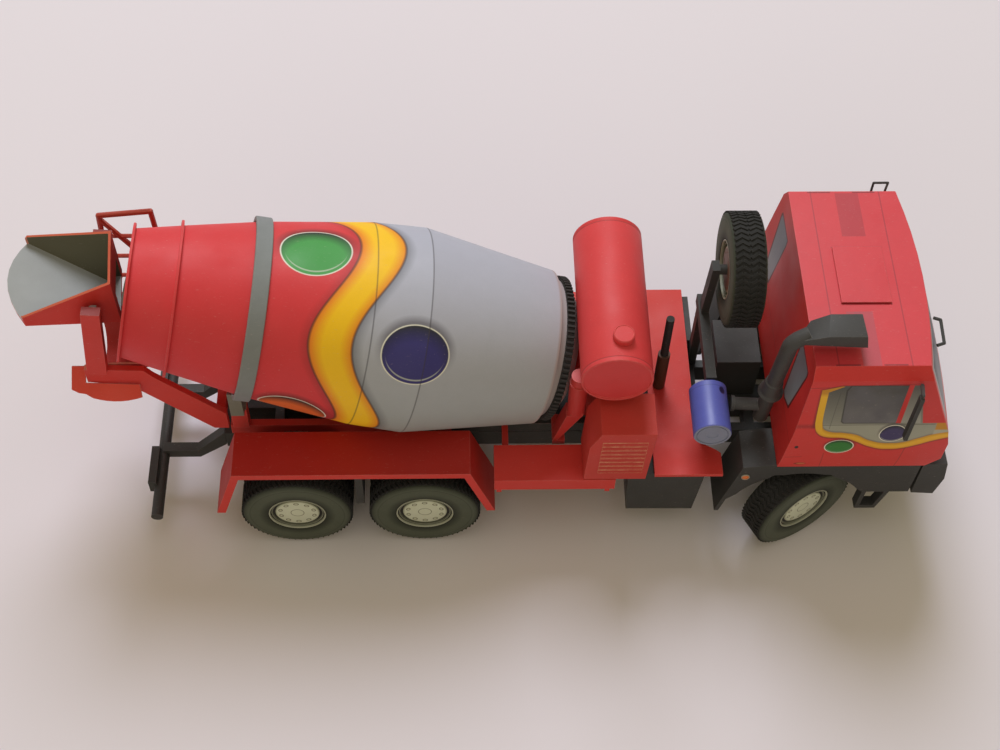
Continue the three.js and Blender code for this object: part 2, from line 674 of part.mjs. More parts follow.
// ---------- spare wheel and its carrier ----------
{
  const spare = wheelGeometry(false);
  // the height axis runs from the rear face forwards
  spare.rotateY(Math.PI / 2);
  const wheel = add('spare_wheel', spare, paint(TYRE, 0.85));
  wheel.position.set(SPARE_X, SPARE_Y, SPARE_Z);
  const beam = box(129.6, 132.8, -15.5, 17, 57.5, 61.5);
  const legs = box(129.9, 132.5, 12, 15.5, CHASSIS_TOP + GAP, 59);
  const legNear = box(129.9, 132.5, -15.5, -12, CHASSIS_TOP + GAP, 59);
  const arm = slabX([[10, 58], [14, 58], [SPARE_Y + 2, 88], [SPARE_Y - 2, 88]], 130.2, 132.6);
  const pin = rod([131, SPARE_Y, SPARE_Z], [SPARE_X + 4, SPARE_Y, SPARE_Z], STUB_RADIUS, 16);
  add('spare_carrier', join(beam, legs, legNear, arm, pin), paint(BLACK, 0.8));
}
add('engine_box', box(136.4, 150.8, 0, 17, CHASSIS_TOP + GAP, 47), paint(BLACK, 0.8));

// ---------- air filter and intake ----------
const FILTER = { x: 130.6, y0: -33, y1: -15.9, z: 55.6, radius: 5.9 };
{
  const from = [FILTER.x, FILTER.y0, FILTER.z];
  const to = [FILTER.x, FILTER.y1, FILTER.z];
  const foot = box(129.4, 131.8, -24, -17, PLATFORM_Z + GAP, FILTER.z - 4);
  add('air_filter', join(rod(from, to, FILTER.radius, 32), foot), paint(BLUE, 0.5));
}
{
  const pipeStart = [FILTER.x + FILTER.radius + 0.8, -21.8, FILTER.z + 1];
  const pipe = rod(pipeStart, [147.6, -22.6, 56.8], 2, 14);
  const stack = rod([147.4, -22.2, 50], [148.4, -27.6, 96], 2.4, 18);
  const collar = rod([147.75, -24.2, 67], [147.9, -25, 73.5], 3.5, 18, 2.9);
  const elbow = rod([148.4, -27.6, 95.4], [155, -26, 100.6], 2.4, 18);
  const ball = new THREE.SphereGeometry(2.45, 12, 8).translate(148.4, -27.6, 95.8);
  const top = box(156.5, 170.3, -30, -21.7, 98, 103.5);
  const ramp = slabY([[149.2, 97.4], [157, 98], [157, 103.5], [149.2, 99.4]], -29, -22);
  const horn = join(top, ramp);
  add('air_intake', join(pipe, stack, collar, elbow, ball, horn), paint(BLACK, 0.7));
}

// ---------- cab ----------
function cabRing(z, half, rear, corner, bulge, inset = 0) {
  const ring = [[rear + inset, -half + inset, z], [corner - inset, -half + inset, z]];
  const steps = 8;
  for (let i = 1; i < steps; i += 1) {
    const share = -1 + (2 * i) / steps;
    ring.push([corner - inset + bulge * (1 - share * share), share * (half - inset), z]);
  }
  ring.push([corner - inset, half - inset, z], [rear + inset, half - inset, z]);
  return ring;
}
const cabLevels = [
  [CAB_BOTTOM, CAB_HALF - 0.6, 151.6, 198, 1.5],
  [50.5, CAB_HALF, 152, 201.8, 1.6],
  [59, CAB_HALF, 152.7, 201.9, 1.8],
  [BELT_Z, CAB_HALF, 153.3, 200.2, 2.2],
  [89, 35.6, 155.3, 191, 2.8],
  [ROOF_Z, 33, 155.7, 189.4, 3],
];
{
  const outer = loft(cabLevels.map((level) => cabRing(...level)));
  const inner = loft(cabLevels.map(([z, ...rest], i) => {
    const drop = i === cabLevels.length - 1 ? -CARD : 0;
    const lift = i === 0 ? -1 : 0;
    return cabRing(z + drop + lift, ...rest, CARD);
  }));
  add('cab_shell', cut(outer, inner), paint(RED, 0.5));
  add('roof_hatch', box(166.2, 181.4, -10.6, 10.6, ROOF_Z + GAP, ROOF_Z + GAP + 0.4), paint(RED, 0.5));
}

// ---------- front mudguards, steps and bumper ----------
const ARCH_RADIUS = 22;
for (const [sideName, side] of SIDES) {
  const outline = [
    [135.6, 16.6], [136.5, 21], [141.4, 43.6], [149, CAB_BOTTOM - GAP], [197.4, CAB_BOTTOM - GAP],
    [197, 28], [182, 28], [170, 39], [152, 39], [138.6, 24], [137, 16.6],
  ];
  const [y0, y1] = span(side, 24, 37.8);
  const arch = rod([FRONT_AXLE_X, -50, WHEEL_RADIUS], [FRONT_AXLE_X, 50, WHEEL_RADIUS], ARCH_RADIUS, 48);
  const guard = cut(slabY(outline, y0, y1), arch);
  const [c0, c1] = span(side, CHASSIS_HALF + GAP, 24.5);
  const carriers = box(186, 195, c0, c1, 30, 38);
  const [s0, s1] = span(side, 34, 37.6);
  const step = slabY(
    [[182.2, 28.5], [181.6, 17], [188.4, 17], [191.2, 28.5], [189.6, 28.5], [187.4, 18.6],
      [183.1, 18.6], [183.6, 28.5]],
    s0,
    s1,
  );
  add(`front_wing_${sideName}`, join(guard, carriers, step), paint(BLACK, 0.7));
}
{
  const outline = [
    [198, 27.3], [205.3, 26.6], [NOSE_X, 36], [205.6, CAB_BOTTOM - GAP], [198, CAB_BOTTOM - GAP],
  ];
  const carriers = box(CHASSIS_FRONT + GAP, 198.5, -12, 12, 21, 30);
  add('bumper', join(slabY(outline, -37.8, 37.8), carriers), paint(BLACK, 0.7));
}
for (const [sideName, side] of SIDES) {
  const y = side * 42.6;
  const near = side < 0;
  const path = near
    ? [[187.4, -36.4, 88], [185.6, y, 92], [185.6, y, 86]]
    : [[187.4, 36.5, 86.5], [188.8, 39.2, 90], [185.6, y, 86], [185.6, y, 76]];
  const arm = tube(path, near ? 0.6 : 0.4, 6);
  const plate = box(185, 186.2, y - 2.2, y + 2.2, near ? 69 : 57, near ? 91 : 79);
  add(`mirror_${sideName}`, join(arm, plate), paint(BLACK, 0.5));
}

// a small bracket that stands out over the windscreen
{
  const z = 85;
  const ends = [[195.9, -10, z], [198, -10.8, z], [197.6, -19.4, z], [195.3, -20.2, z]];
  add('screen_bracket', tube(ends, 0.5, 6), paint(BLACK, 0.5));
}

export default truck;
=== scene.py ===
# %% [markdown]
# # A card model of a concrete mixer truck
# The object is a paper model at 1:32. Sheets of printed card were cut, scored,
# folded and rolled, and then glued to each other.
# The sizes and the joints come from a packed CAD model, which is called the frame.
# Each piece here either dresses a CAD piece with a finish, or takes its place with
# finer folds, and then it rides on the same body, so that it moves when a joint turns.

# %% Load the frame and keep its box
import json
import math
import bmesh
import bpy
from mathutils import Matrix, Vector

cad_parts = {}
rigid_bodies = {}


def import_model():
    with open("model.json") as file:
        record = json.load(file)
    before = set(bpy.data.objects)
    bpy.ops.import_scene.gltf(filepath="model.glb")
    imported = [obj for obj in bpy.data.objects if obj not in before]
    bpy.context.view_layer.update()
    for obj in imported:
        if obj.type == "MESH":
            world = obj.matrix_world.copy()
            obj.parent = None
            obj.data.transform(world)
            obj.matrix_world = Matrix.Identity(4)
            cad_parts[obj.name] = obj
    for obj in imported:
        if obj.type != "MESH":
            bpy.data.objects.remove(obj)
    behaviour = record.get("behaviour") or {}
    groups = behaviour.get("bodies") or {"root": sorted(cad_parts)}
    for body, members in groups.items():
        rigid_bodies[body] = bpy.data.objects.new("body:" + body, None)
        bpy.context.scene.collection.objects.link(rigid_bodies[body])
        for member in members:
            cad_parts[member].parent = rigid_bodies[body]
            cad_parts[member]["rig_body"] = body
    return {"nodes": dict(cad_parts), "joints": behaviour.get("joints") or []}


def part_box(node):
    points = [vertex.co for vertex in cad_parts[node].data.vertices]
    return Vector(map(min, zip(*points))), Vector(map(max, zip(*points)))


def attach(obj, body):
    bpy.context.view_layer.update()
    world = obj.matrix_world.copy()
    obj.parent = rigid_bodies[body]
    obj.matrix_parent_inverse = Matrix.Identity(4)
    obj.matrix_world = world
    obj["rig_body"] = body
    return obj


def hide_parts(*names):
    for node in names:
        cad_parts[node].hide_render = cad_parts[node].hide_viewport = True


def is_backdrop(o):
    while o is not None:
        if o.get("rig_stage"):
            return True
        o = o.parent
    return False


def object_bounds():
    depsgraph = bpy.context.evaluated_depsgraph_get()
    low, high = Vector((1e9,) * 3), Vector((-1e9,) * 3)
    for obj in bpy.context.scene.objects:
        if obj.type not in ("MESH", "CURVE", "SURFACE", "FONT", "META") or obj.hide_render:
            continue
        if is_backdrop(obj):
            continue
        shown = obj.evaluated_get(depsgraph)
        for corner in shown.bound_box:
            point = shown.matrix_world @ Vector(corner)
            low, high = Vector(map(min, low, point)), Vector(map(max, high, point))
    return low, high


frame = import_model()
cad_low, cad_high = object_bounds()
MM = 0.001
joints = {joint["name"]: joint for joint in frame["joints"]}

# %% [markdown]
# ## Where things are
# A maker measures from one edge. Here lengths are in millimetres, x runs forwards
# from the rearmost axle and z up from the ground. The rearmost axle's own joint says
# where that is in the frame, so nothing has to be fitted by eye.

# %% Points in millimetres from the rearmost axle
REAR_AXLE = Vector(joints["wheel_rear_right_roll"]["pos_m"])
SHIFT = REAR_AXLE.x / MM


def at(x, y, z):
    """A point in metres in the frame, from millimetres ahead of the rearmost axle."""
    return Vector(((x + SHIFT) * MM, y * MM, z * MM))


drum_joint = joints["drum_turn"]
DRUM_START = Vector(drum_joint["pos_m"])
DRUM_ALONG = Vector(drum_joint["axis"]).normalized()
DRUM_UP = Vector((-DRUM_ALONG.z, 0, DRUM_ALONG.x))
lean_degrees = math.degrees(math.asin(-DRUM_ALONG.z))
print("rearmost axle at", round(SHIFT, 2), "mm; the drum leans", round(lean_degrees, 1), "degrees")

# %% [markdown]
# ## The camera
# It looks down at the truck's right side from behind its middle, with a normal lens.
# The camera comes first, because it decides how fine each detail has to be.

# %% Set the camera
camera = bpy.data.objects.new("camera", bpy.data.cameras.new("camera"))
bpy.context.scene.collection.objects.link(camera)
camera.data.lens = 57.0
camera.data.sensor_width = 36.0
look_down, swing, lean = math.radians(56.15), math.radians(-2.83), math.radians(1.97)
CAMERA_PLACE = (-0.01139, -0.28781, 0.47020)
turn = Matrix.Rotation(swing, 4, "Z") @ Matrix.Rotation(math.pi / 2 - look_down, 4, "X")
camera.matrix_world = Matrix.Translation(CAMERA_PLACE) @ turn @ Matrix.Rotation(lean, 4, "Z")
camera.data.clip_start, camera.data.clip_end = 0.01, 20
bpy.context.scene.camera = camera
print("camera at", [round(c, 3) for c in camera.location])

# %% [markdown]
# ## Colours and small helpers for node trees
# Ink is written as six hexadecimal digits, as a printer would note it, and turned
# into the linear values that a shader wants.
# The helpers below only save typing. Each one adds one ordinary node, and its value or
# its link goes straight in, so that a sum of nodes reads like a sum.

# %% Inks and node helpers
def ink(code):
    """A colour such as c8302c as the four linear numbers of a colour socket."""
    parts = [int(code[i:i + 2], 16) / 255 for i in (0, 2, 4)]
    return (*[p / 12.92 if p <= 0.04045 else ((p + 0.055) / 1.055) ** 2.4 for p in parts], 1)


class Wiring:
    """Adds nodes to one tree and joins them."""

    def __init__(self, tree):
        self.tree = tree

    def put(self, socket, value):
        """Joins a socket to another one, or gives it a plain value."""
        if isinstance(value, bpy.types.NodeSocket):
            self.tree.links.new(value, socket)
        else:
            socket.default_value = value

    def node(self, kind, inputs=None, **settings):
        """Adds a node, sets its properties and fills its inputs by name or number."""
        made = self.tree.nodes.new(kind)
        for key, value in settings.items():
            setattr(made, key, value)
        for key, value in (inputs or {}).items():
            self.put(made.inputs[key], value)
        return made

    def group(self, tree, values):
        """Adds a node group, and fills its inputs by name. Returns its outputs."""
        return self.node("ShaderNodeGroup", values, node_tree=tree).outputs

    def math(self, operation, *values):
        made = self.node("ShaderNodeMath", operation=operation)
        for socket, value in zip(made.inputs, values):
            self.put(socket, value)
        return made.outputs[0]

    def add(self, first, second):
        return self.math("ADD", first, second)

    def sub(self, first, second):
        return self.math("SUBTRACT", first, second)

    def mul(self, first, second):
        return self.math("MULTIPLY", first, second)

    def div(self, first, second):
        return self.math("DIVIDE", first, second)

    def absolute(self, value):
        return self.math("ABSOLUTE", value)

    def vector(self, operation, *values, output="Vector"):
        inputs = dict(enumerate(values))
        return self.node("ShaderNodeVectorMath", inputs, operation=operation).outputs[output]

    def ramp(self, value, low, high, first=0.0, last=1.0):
        """value between low and high becomes a number between first and last."""
        return self.node("ShaderNodeMapRange", {0: value, 1: low, 2: high, 3: first, 4: last}).outputs[0]

    def stray(self, most, seed):
        """A random number for each copy, up to most either way."""
        limits = {2: self.mul(most, -1.0), 3: most, "Seed": seed}
        return self.node("FunctionNodeRandomValue", limits, data_type="FLOAT").outputs[1]


print("one red in linear numbers:", [round(c, 3) for c in ink("c8302c")[:3]])

# %% [markdown]
# ## Masks for printed marks
# A printer lays inks over each other through masks, and so do these helpers. A mask is
# 1 where the ink lies, 0 where it doesn't, and something between on a soft edge. Lines,
# ellipses and outlines with straight sides are enough for all that is printed here.

# %% Masks and mixes
class Inking(Wiring):
    """Masks and mixes for a printed surface, in millimetres."""

    def mix(self, factor, first, second, how="MIX"):
        made = self.node("ShaderNodeMix", data_type="RGBA", blend_type=how)
        for place, value in ((0, factor), (6, first), (7, second)):
            self.put(made.inputs[place], value)
        return made.outputs[2]

    def noise(self, vector, scale, detail=2.0, rough=0.5):
        settings = {"Vector": vector, "Scale": scale, "Detail": detail, "Roughness": rough}
        return self.node("ShaderNodeTexNoise", settings).outputs[0]

    def both(self, first, second):
        """Where both masks are 1."""
        return self.mul(first, second)

    def either(self, first, second):
        """Where one mask or the other is 1."""
        return self.math("MAXIMUM", first, second)

    def line(self, value, middle, near, far, strength=1.0):
        """A soft line where value is close to middle: strength inside near, 0 past far."""
        return self.ramp(self.absolute(self.sub(value, middle)), near, far, strength, 0.0)

    def stamp(self, under, mask, strength, code):
        """Prints a colour over what is under it, where the mask is 1, at a strength."""
        return self.mix(self.both(mask, strength), under, ink(code))

    def disc(self, u, v, centre, radii, soft=0.04):
        """1 inside an ellipse. Returns the mask and the distance, which is 1 on its edge."""
        du = self.div(self.sub(u, centre[0]), radii[0])
        dv = self.div(self.sub(v, centre[1]), radii[1])
        far = self.math("SQRT", self.add(self.both(du, du), self.both(dv, dv)))
        return self.ramp(far, 1 - soft, 1 + soft, 1.0, 0.0), far

    def polygon(self, u, v, points, soft=0.12):
        """1 inside a convex outline, which runs anticlockwise."""
        least = None
        for (u0, v0), (u1, v1) in zip(points, points[1:] + points[:1]):
            length = math.hypot(u1 - u0, v1 - v0)
            nu, nv = -(v1 - v0) / length, (u1 - u0) / length
            side = self.add(self.both(u, nu), self.both(v, nv))
            side = self.sub(side, nu * u0 + nv * v0)
            least = side if least is None else self.math("MINIMUM", least, side)
        return self.ramp(least, -soft, soft)

    def stroke(self, u, v, start, end, width, soft=0.08):
        """1 on a straight drawn line."""
        length = math.hypot(end[0] - start[0], end[1] - start[1])
        across = Vector((-(end[1] - start[1]), end[0] - start[0])) / length * width / 2
        a, b = Vector(start), Vector(end)
        corners = [a - across, b - across, b + across, a + across]
        return self.polygon(u, v, [tuple(corner) for corner in corners], soft)


print("masks:", [name for name in vars(Inking) if not name.startswith("_")])

# %% [markdown]
# ## What printed card looks like
# Card is paper fibre pressed flat, with ink on top. Close up the ink is not even: it is
# blotchy over a few millimetres, grainy over a quarter of one, and here and there a
# fibre shows through. The gloss wanders where fingers and glue have been.
# Every material uses this, so it is a node group, with its own strengths in each.

# %% The card surface group
def new_group(name, kind, inputs, outputs):
    """A node group with named sockets. Returns it with its input and output nodes."""
    group = bpy.data.node_groups.new(name, kind)
    for way, sockets in (("INPUT", inputs), ("OUTPUT", outputs)):
        for socket_name, socket_kind, value in sockets:
            kind_name = "NodeSocket" + socket_kind
            socket = group.interface.new_socket(socket_name, in_out=way, socket_type=kind_name)
            if value is not None:
                socket.default_value = value
    start, end = group.nodes.new("NodeGroupInput"), group.nodes.new("NodeGroupOutput")
    return group, start.outputs, end.inputs


card_surface, given, result = new_group(
    "card_surface", "ShaderNodeTree",
    [("Place", "Vector", None), ("Ink", "Color", (0.5, 0.5, 0.5, 1)), ("Blotch", "Float", 0.12),
     ("Grain", "Float", 0.12), ("Fibre", "Float", 0.3), ("Gloss", "Float", 0.5)],
    [("Ink", "Color", None), ("Roughness", "Float", None), ("Height", "Float", None)])
w = Inking(card_surface)
blotch = w.noise(given["Place"], 0.22, 4.0, 0.6)
grain = w.noise(given["Place"], 3.2, 2.0, 0.7)
stretched = w.vector("MULTIPLY", given["Place"], (0.8, 3.0, 1.7))
fibre = w.noise(stretched, 0.9, 5.0, 0.65)
shade = w.add(w.both(w.sub(blotch, 0.5), given["Blotch"]), 1.0)
shade = w.add(shade, w.both(w.sub(grain, 0.5), given["Grain"]))
grey = w.node("ShaderNodeCombineColor", {0: shade, 1: shade, 2: shade}).outputs[0]
toned = w.mix(1.0, given["Ink"], grey, "MULTIPLY")
bare = w.both(w.ramp(fibre, 0.62, 0.74), given["Fibre"])
w.put(result["Ink"], w.mix(bare, toned, ink("cdb9b2")))
smear = w.ramp(w.noise(given["Place"], 0.07, 3.0), 0.3, 0.7, -0.09, 0.09)
w.put(result["Roughness"], w.add(w.add(given["Gloss"], smear), w.both(fibre, 0.08)))
w.put(result["Height"], w.add(w.both(fibre, 0.7), w.both(blotch, 1.6)))
print("card surface nodes:", len(card_surface.nodes))

# %% [markdown]
# ## Cut and folded edges
# A knife leaves the pale core of the card bare along each cut, and a fold cracks the
# ink. The Bevel node gives the normal of a rounded edge. Where it differs from the
# true normal there is an edge, and a noise breaks the line up.

# %% The worn edge group
worn_edge, given, result = new_group(
    "worn_edge", "ShaderNodeTree",
    [("Place", "Vector", None), ("Ink", "Color", (0.5, 0.5, 0.5, 1)), ("Core", "Color", (0.7, 0.6, 0.6, 1)),
     ("Width", "Float", 0.00035), ("Wear", "Float", 0.5)],
    [("Ink", "Color", None)])
w = Inking(worn_edge)
rounded = w.node("ShaderNodeBevel", {"Radius": given["Width"]}, samples=4).outputs[0]
flat = w.node("ShaderNodeNewGeometry").outputs["Normal"]
alike = w.vector("DOT_PRODUCT", rounded, flat, output="Value")
patchy = w.ramp(w.noise(given["Place"], 0.55, 4.0, 0.65), 0.32, 0.66, 0.15, 1.0)
edge = w.both(w.both(w.ramp(alike, 0.995, 0.86), patchy), given["Wear"])
w.put(result["Ink"], w.mix(edge, given["Ink"], given["Core"]))
print("worn edge nodes:", len(worn_edge.nodes))

# %% [markdown]
# ## One function makes every card finish
# The place comes from Object coordinates, so the pattern stays on a piece when its
# body moves. A finish may be given a function that prints marks on the plain ink.
# Numbers that are the same all over go straight onto the shader's own sockets.

# %% Make a card finish
def card(name, colour, gloss=0.55, core="d9a09a", wear=0.45, blotch=0.12, grain=0.10, fibre=0.22,
         prints=None, shine=0.42):
    """A material of printed card. prints(wiring, x, y, z, ink) returns the ink with its marks."""
    material = bpy.data.materials.new(name)
    material.use_nodes = True
    material.node_tree.nodes.clear()
    w = Inking(material.node_tree)
    place = w.node("ShaderNodeTexCoord").outputs["Object"]
    place = w.vector("MULTIPLY_ADD", place, (1 / MM, 1 / MM, 1 / MM), (-SHIFT, 0, 0))
    x, y, z = w.node("ShaderNodeSeparateXYZ", {0: place}).outputs
    plain = ink(colour)
    marked = prints(w, x, y, z, plain) if prints else plain
    surface = w.group(card_surface, {
        "Place": place, "Ink": marked, "Blotch": blotch, "Grain": grain, "Fibre": fibre, "Gloss": gloss})
    edges = w.group(worn_edge, {"Place": place, "Ink": surface["Ink"], "Core": ink(core), "Wear": wear})
    bump = w.node("ShaderNodeBump", {"Height": surface["Height"], "Strength": 0.35, "Distance": 0.08 * MM})
    shader = w.node("ShaderNodeBsdfPrincipled", {
        "Base Color": edges["Ink"], "Roughness": surface["Roughness"], "Normal": bump.outputs[0],
        "Specular IOR Level": shine})
    w.put(w.node("ShaderNodeOutputMaterial").inputs["Surface"], shader.outputs[0])
    material.diffuse_color = ink(colour)
    return material


RED = card("red_card", "d03630")
# A darker red that is painted shade: the drum's shadow on the mudguard tops, and shade inside the trough.
RED_IN_PAINTED_SHADE = card("red_in_painted_shade_card", "ab1c12")
BRIGHT_RED = card("bright_red_card", "d84434")
# Painted shadow of the hopper, on the tops of the tail frame's columns.
HOPPER_SHADOW_RED = card("hopper_shadow_red_card", "84241f")
BLACK = card("black_card", "33322f", core="6a6762", wear=0.5, gloss=0.6)
SOFT_BLACK = card("soft_black_card", "262522", core="55524e", wear=0.35, gloss=0.65)
PALE_EDGE = card("cut_edge", "d88a80", core="e8c8c0", wear=0.2, fibre=0.5)
GREY = card("grey_card", "7d7b74", core="a9a59c", gloss=0.6)
print("first finishes:", [m.name for m in bpy.data.materials if m.name.endswith("card")][:8])

# %% [markdown]
# ## From a mesh to a piece
# Each piece is a mesh with its materials, which rides on a body and stands for its CAD
# nodes. Modifiers are turned into plain mesh at once.

# %% Make a piece of a mesh
def own_body(node):
    return frame["nodes"][node]["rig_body"]


def settle(piece, body, slot, *nodes):
    """The piece rides on its body and stands for its CAD nodes."""
    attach(piece, body)
    if nodes:
        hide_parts(*nodes)
    return piece


def as_piece(name, mesh, materials=()):
    """An object in the scene with this mesh and these materials."""
    piece = bpy.data.objects.new(name, mesh)
    bpy.context.scene.collection.objects.link(piece)
    for material in materials:
        mesh.materials.append(material)
    return piece


def apply_modifiers(piece):
    """Keeps what the modifiers make as the piece's plain mesh."""
    shaped = bpy.data.meshes.new_from_object(piece.evaluated_get(bpy.context.evaluated_depsgraph_get()))
    piece.modifiers.clear()
    old, piece.data = piece.data, shaped
    bpy.data.meshes.remove(old)


print("the cab rides on:", own_body("cab_shell"))

# %% [markdown]
# ## Folded card pieces
# Most of the truck is boxes and plates folded from card. The CAD solid has the right
# size, so a copy of it is taken, its loose triangles are joined, flat ones become one
# face, and each corner gets the small round that folded card has.
# A rule then looks at each face and says which sheet of card it was cut from. A face
# points mostly along an axis when that part of its normal is over MOSTLY.
# A face no wider than the card is thick is a cut edge, and shows the paler core.

# %% Copy, fold and finish a CAD piece
def width_of(face):
    """About how wide a long face is, in millimetres."""
    longest = max((a.co - b.co).length for a in face.verts for b in face.verts)
    return face.calc_area() / max(longest, 1e-9) / MM


def smooth_faces(mesh, angle=32):
    """Rounds the shading, and keeps folds over the angle sharp."""
    mesh.polygons.foreach_set("use_smooth", [True] * len(mesh.polygons))
    mesh.set_sharp_from_angle(angle=math.radians(angle))


def round_corners(piece, width, angle=34):
    """Bevels the folds."""
    bevel = piece.modifiers.new("corner", "BEVEL")
    bevel.width, bevel.segments, bevel.limit_method = width * MM, 2, "ANGLE"
    bevel.angle_limit, bevel.use_clamp_overlap = math.radians(angle), True
    apply_modifiers(piece)


def flatten_shading(piece):
    """Weights corner normals by face size, so that a flat sheet stays flat beside its folds."""
    weigh = piece.modifiers.new("flat", "WEIGHTED_NORMAL")
    weigh.keep_sharp, weigh.weight = True, 100
    apply_modifiers(piece)


WELD, FLAT, ROUND_FACE = 2e-6, math.radians(0.6), 30
MOSTLY = 0.7


def sort_faces(shape, count, rule, edge):
    """Gives each face its sheet. A narrow face is a cut edge, unless it is a ring of many corners."""
    for face in shape.faces:
        middle = face.calc_center_median() / MM - Vector((SHIFT, 0, 0))
        width = width_of(face)
        if edge and width < edge and len(face.verts) < ROUND_FACE:
            face.material_index = count
        elif rule:
            face.material_index = rule(middle, face.normal, width)


def fold(node, materials, slot, rule=None, edge=1.25, corner=0.1, smooth=32):
    """A folded card piece in the place of a CAD node. rule(centre, normal, width) picks a material."""
    mesh = frame["nodes"][node].data.copy()
    mesh.materials.clear()
    shape = bmesh.new()
    shape.from_mesh(mesh)
    bmesh.ops.remove_doubles(shape, verts=shape.verts, dist=WELD)
    bmesh.ops.dissolve_limit(shape, angle_limit=FLAT, verts=shape.verts, edges=shape.edges)
    sort_faces(shape, len(materials), rule, edge)
    shape.to_mesh(mesh)
    shape.free()
    cut_edge = PALE_EDGE if RED in materials or BRIGHT_RED in materials else materials[0]
    piece = as_piece("card_" + node, mesh, [*materials, cut_edge])
    if corner:
        bpy.context.view_layer.update()
        round_corners(piece, corner)
    smooth_faces(piece.data, smooth)
    if corner:
        bpy.context.view_layer.update()
        flatten_shading(piece)
    return settle(piece, own_body(node), slot, node)


print("a fold welds points closer than", WELD / MM, "mm")

# %% [markdown]
# ## The red boxes and the tail frame
# Plain red pieces need no rule. The tail frame's columns end under the hopper, and their
# tops get a darker red as painted shadow of the hopper, so its rule looks at which way a
# face points and how high.

# %% Fold the red pieces
COLUMN_TOPS_ABOVE = 70


def shaded_top(middle, normal, width):
    """The second material, the painted shadow red, for the columns' tops."""
    return 1 if normal.z > MOSTLY and middle.z > COLUMN_TOPS_ABOVE else 0


folded = [fold(n, [RED], "red_card") for n in (
    "side_box_right", "side_box_left", "drum_drive", "tank_stand", "platform")]
folded.append(fold("tail_frame", [RED, HOPPER_SHADOW_RED], "red_card", shaded_top))
print("folded:", [(p.name, len(p.data.polygons)) for p in folded])

# %% [markdown]
# ## Black card pieces
# The chassis, axles, bumper and the boxes beside the frame are black card. Black ink
# scuffs grey at each corner, so the edges matter more than the faces.
# Two pieces change colour along their length: the subframe's print turns black towards
# the cab, and the exhaust is scorched brown low down. The right mirror's plate is half
# as wide as in the CAD, so its sides are brought in.

# %% Fold the black pieces
MIRROR_MIDDLE, MIRROR_PLATE_TOP, MIRROR_ARM_FROM = -42.6, 91.2, 3
MIRROR_STILL, MIRROR_SHARE = 1.5, 0.5
SUBFRAME_BLACK_FROM, SCORCHED_UP_TO = 50, 56.2


def narrow_mirror(piece):
    """Brings the plate's two sides halfway in, and leaves its arms alone."""
    for corner in piece.data.vertices:
        out, z = corner.co.y / MM - MIRROR_MIDDLE, corner.co.z / MM
        if abs(out) > MIRROR_STILL and z < MIRROR_PLATE_TOP and out < MIRROR_ARM_FROM:
            corner.co.y -= out * MIRROR_SHARE * MM


def black_ahead(limit):
    """A print that is plain up to a length and black ahead of it."""
    return lambda w, x, y, z, plain: w.mix(w.ramp(x, limit - 0.1, limit + 0.1), plain, ink("2c2b28"))


def upper(limit):
    """A rule that gives the second material to the faces above a height."""
    return lambda middle, normal, width: 1 if middle.z > limit else 0


black = {n: fold(n, [BLACK], "black_card", edge=0) for n in (
    "chassis_frame", "axle_rear", "axle_middle", "axle_front", "knuckle_right", "knuckle_left",
    "battery_boxes", "spare_carrier", "engine_box", "underrun_bar", "bumper",
    "front_wing_right", "front_wing_left", "mirror_right", "mirror_left", "screen_bracket")}
narrow_mirror(black["mirror_right"])
BROWN = card("scorched_brown_card", "4f3325", core="80604c", wear=0.4)
SUBFRAME_CARD = card("subframe_card", "c8322c", prints=black_ahead(SUBFRAME_BLACK_FROM))
fold("subframe", [SUBFRAME_CARD], "red_card")
fold("exhaust_pipe", [BROWN, SOFT_BLACK], "black_card", upper(SCORCHED_UP_TO), edge=0, smooth=40)
print("black pieces:", len(black))

# %% [markdown]
# ## Rear mudguards, wings and trough
# A mudguard is one long sheet with a lip glued along its outer edge. The lip is a
# lighter red than the top, whose darker red is painted shade from the drum above it.
# Each discharge wing meets the tail's side plate at one corner, and that corner is
# moved up to it so that less of a gap shows. Glue and paint leave the ladder's thin
# rods a little thicker than the CAD's, so their surface is moved out.

# %% Fold the mudguards and the tail's curved sheets
WING_CORNER_REAR, WING_CORNER_FRONT, WING_CORNER_UNDER = -62.9, -62.1, 60.9
WING_MOVE, ROD_SWELL = 0.42, 0.12


def lip(middle, normal, width):
    """The second material for the two upright sides of a mudguard."""
    return 1 if abs(normal.y) > MOSTLY else 0


def trough_floor(middle, normal, width):
    """The second material, the painted shade red, for the trough's inside."""
    return 1 if normal.z > 0.1 and abs(normal.x) < 0.6 else 0


def lean_in(wing, how_far):
    """Moves the wing's upper corner in and up, by the same length each way."""
    for corner in wing.data.vertices:
        x, z = corner.co.x / MM - SHIFT, corner.co.z / MM
        if WING_CORNER_REAR < x < WING_CORNER_FRONT and z < WING_CORNER_UNDER:
            corner.co += Vector((0, math.copysign(how_far, -corner.co.y), how_far)) * MM


def thicken(rods, by):
    """Moves the surface of thin rods out."""
    for corner in rods.data.vertices:
        corner.co += corner.normal * by * MM


# The mudguard tops and the trough's inside take the darker red as painted shade.
for side in ("right", "left"):
    fold("mudguard_rear_" + side, [RED_IN_PAINTED_SHADE, RED], "red_card", lip)
    lean_in(fold("discharge_wing_" + side, [BRIGHT_RED], "red_card"), WING_MOVE)
fold("discharge_trough", [RED, RED_IN_PAINTED_SHADE], "red_card", trough_floor, smooth=40)
RAIL_RED = card("rail_red_brown", "a63a2a", core="c0705c")
thicken(fold("ladder", [RAIL_RED], "red_card", edge=0, corner=0), ROD_SWELL)
print("mudguards, wings, trough and ladder folded")
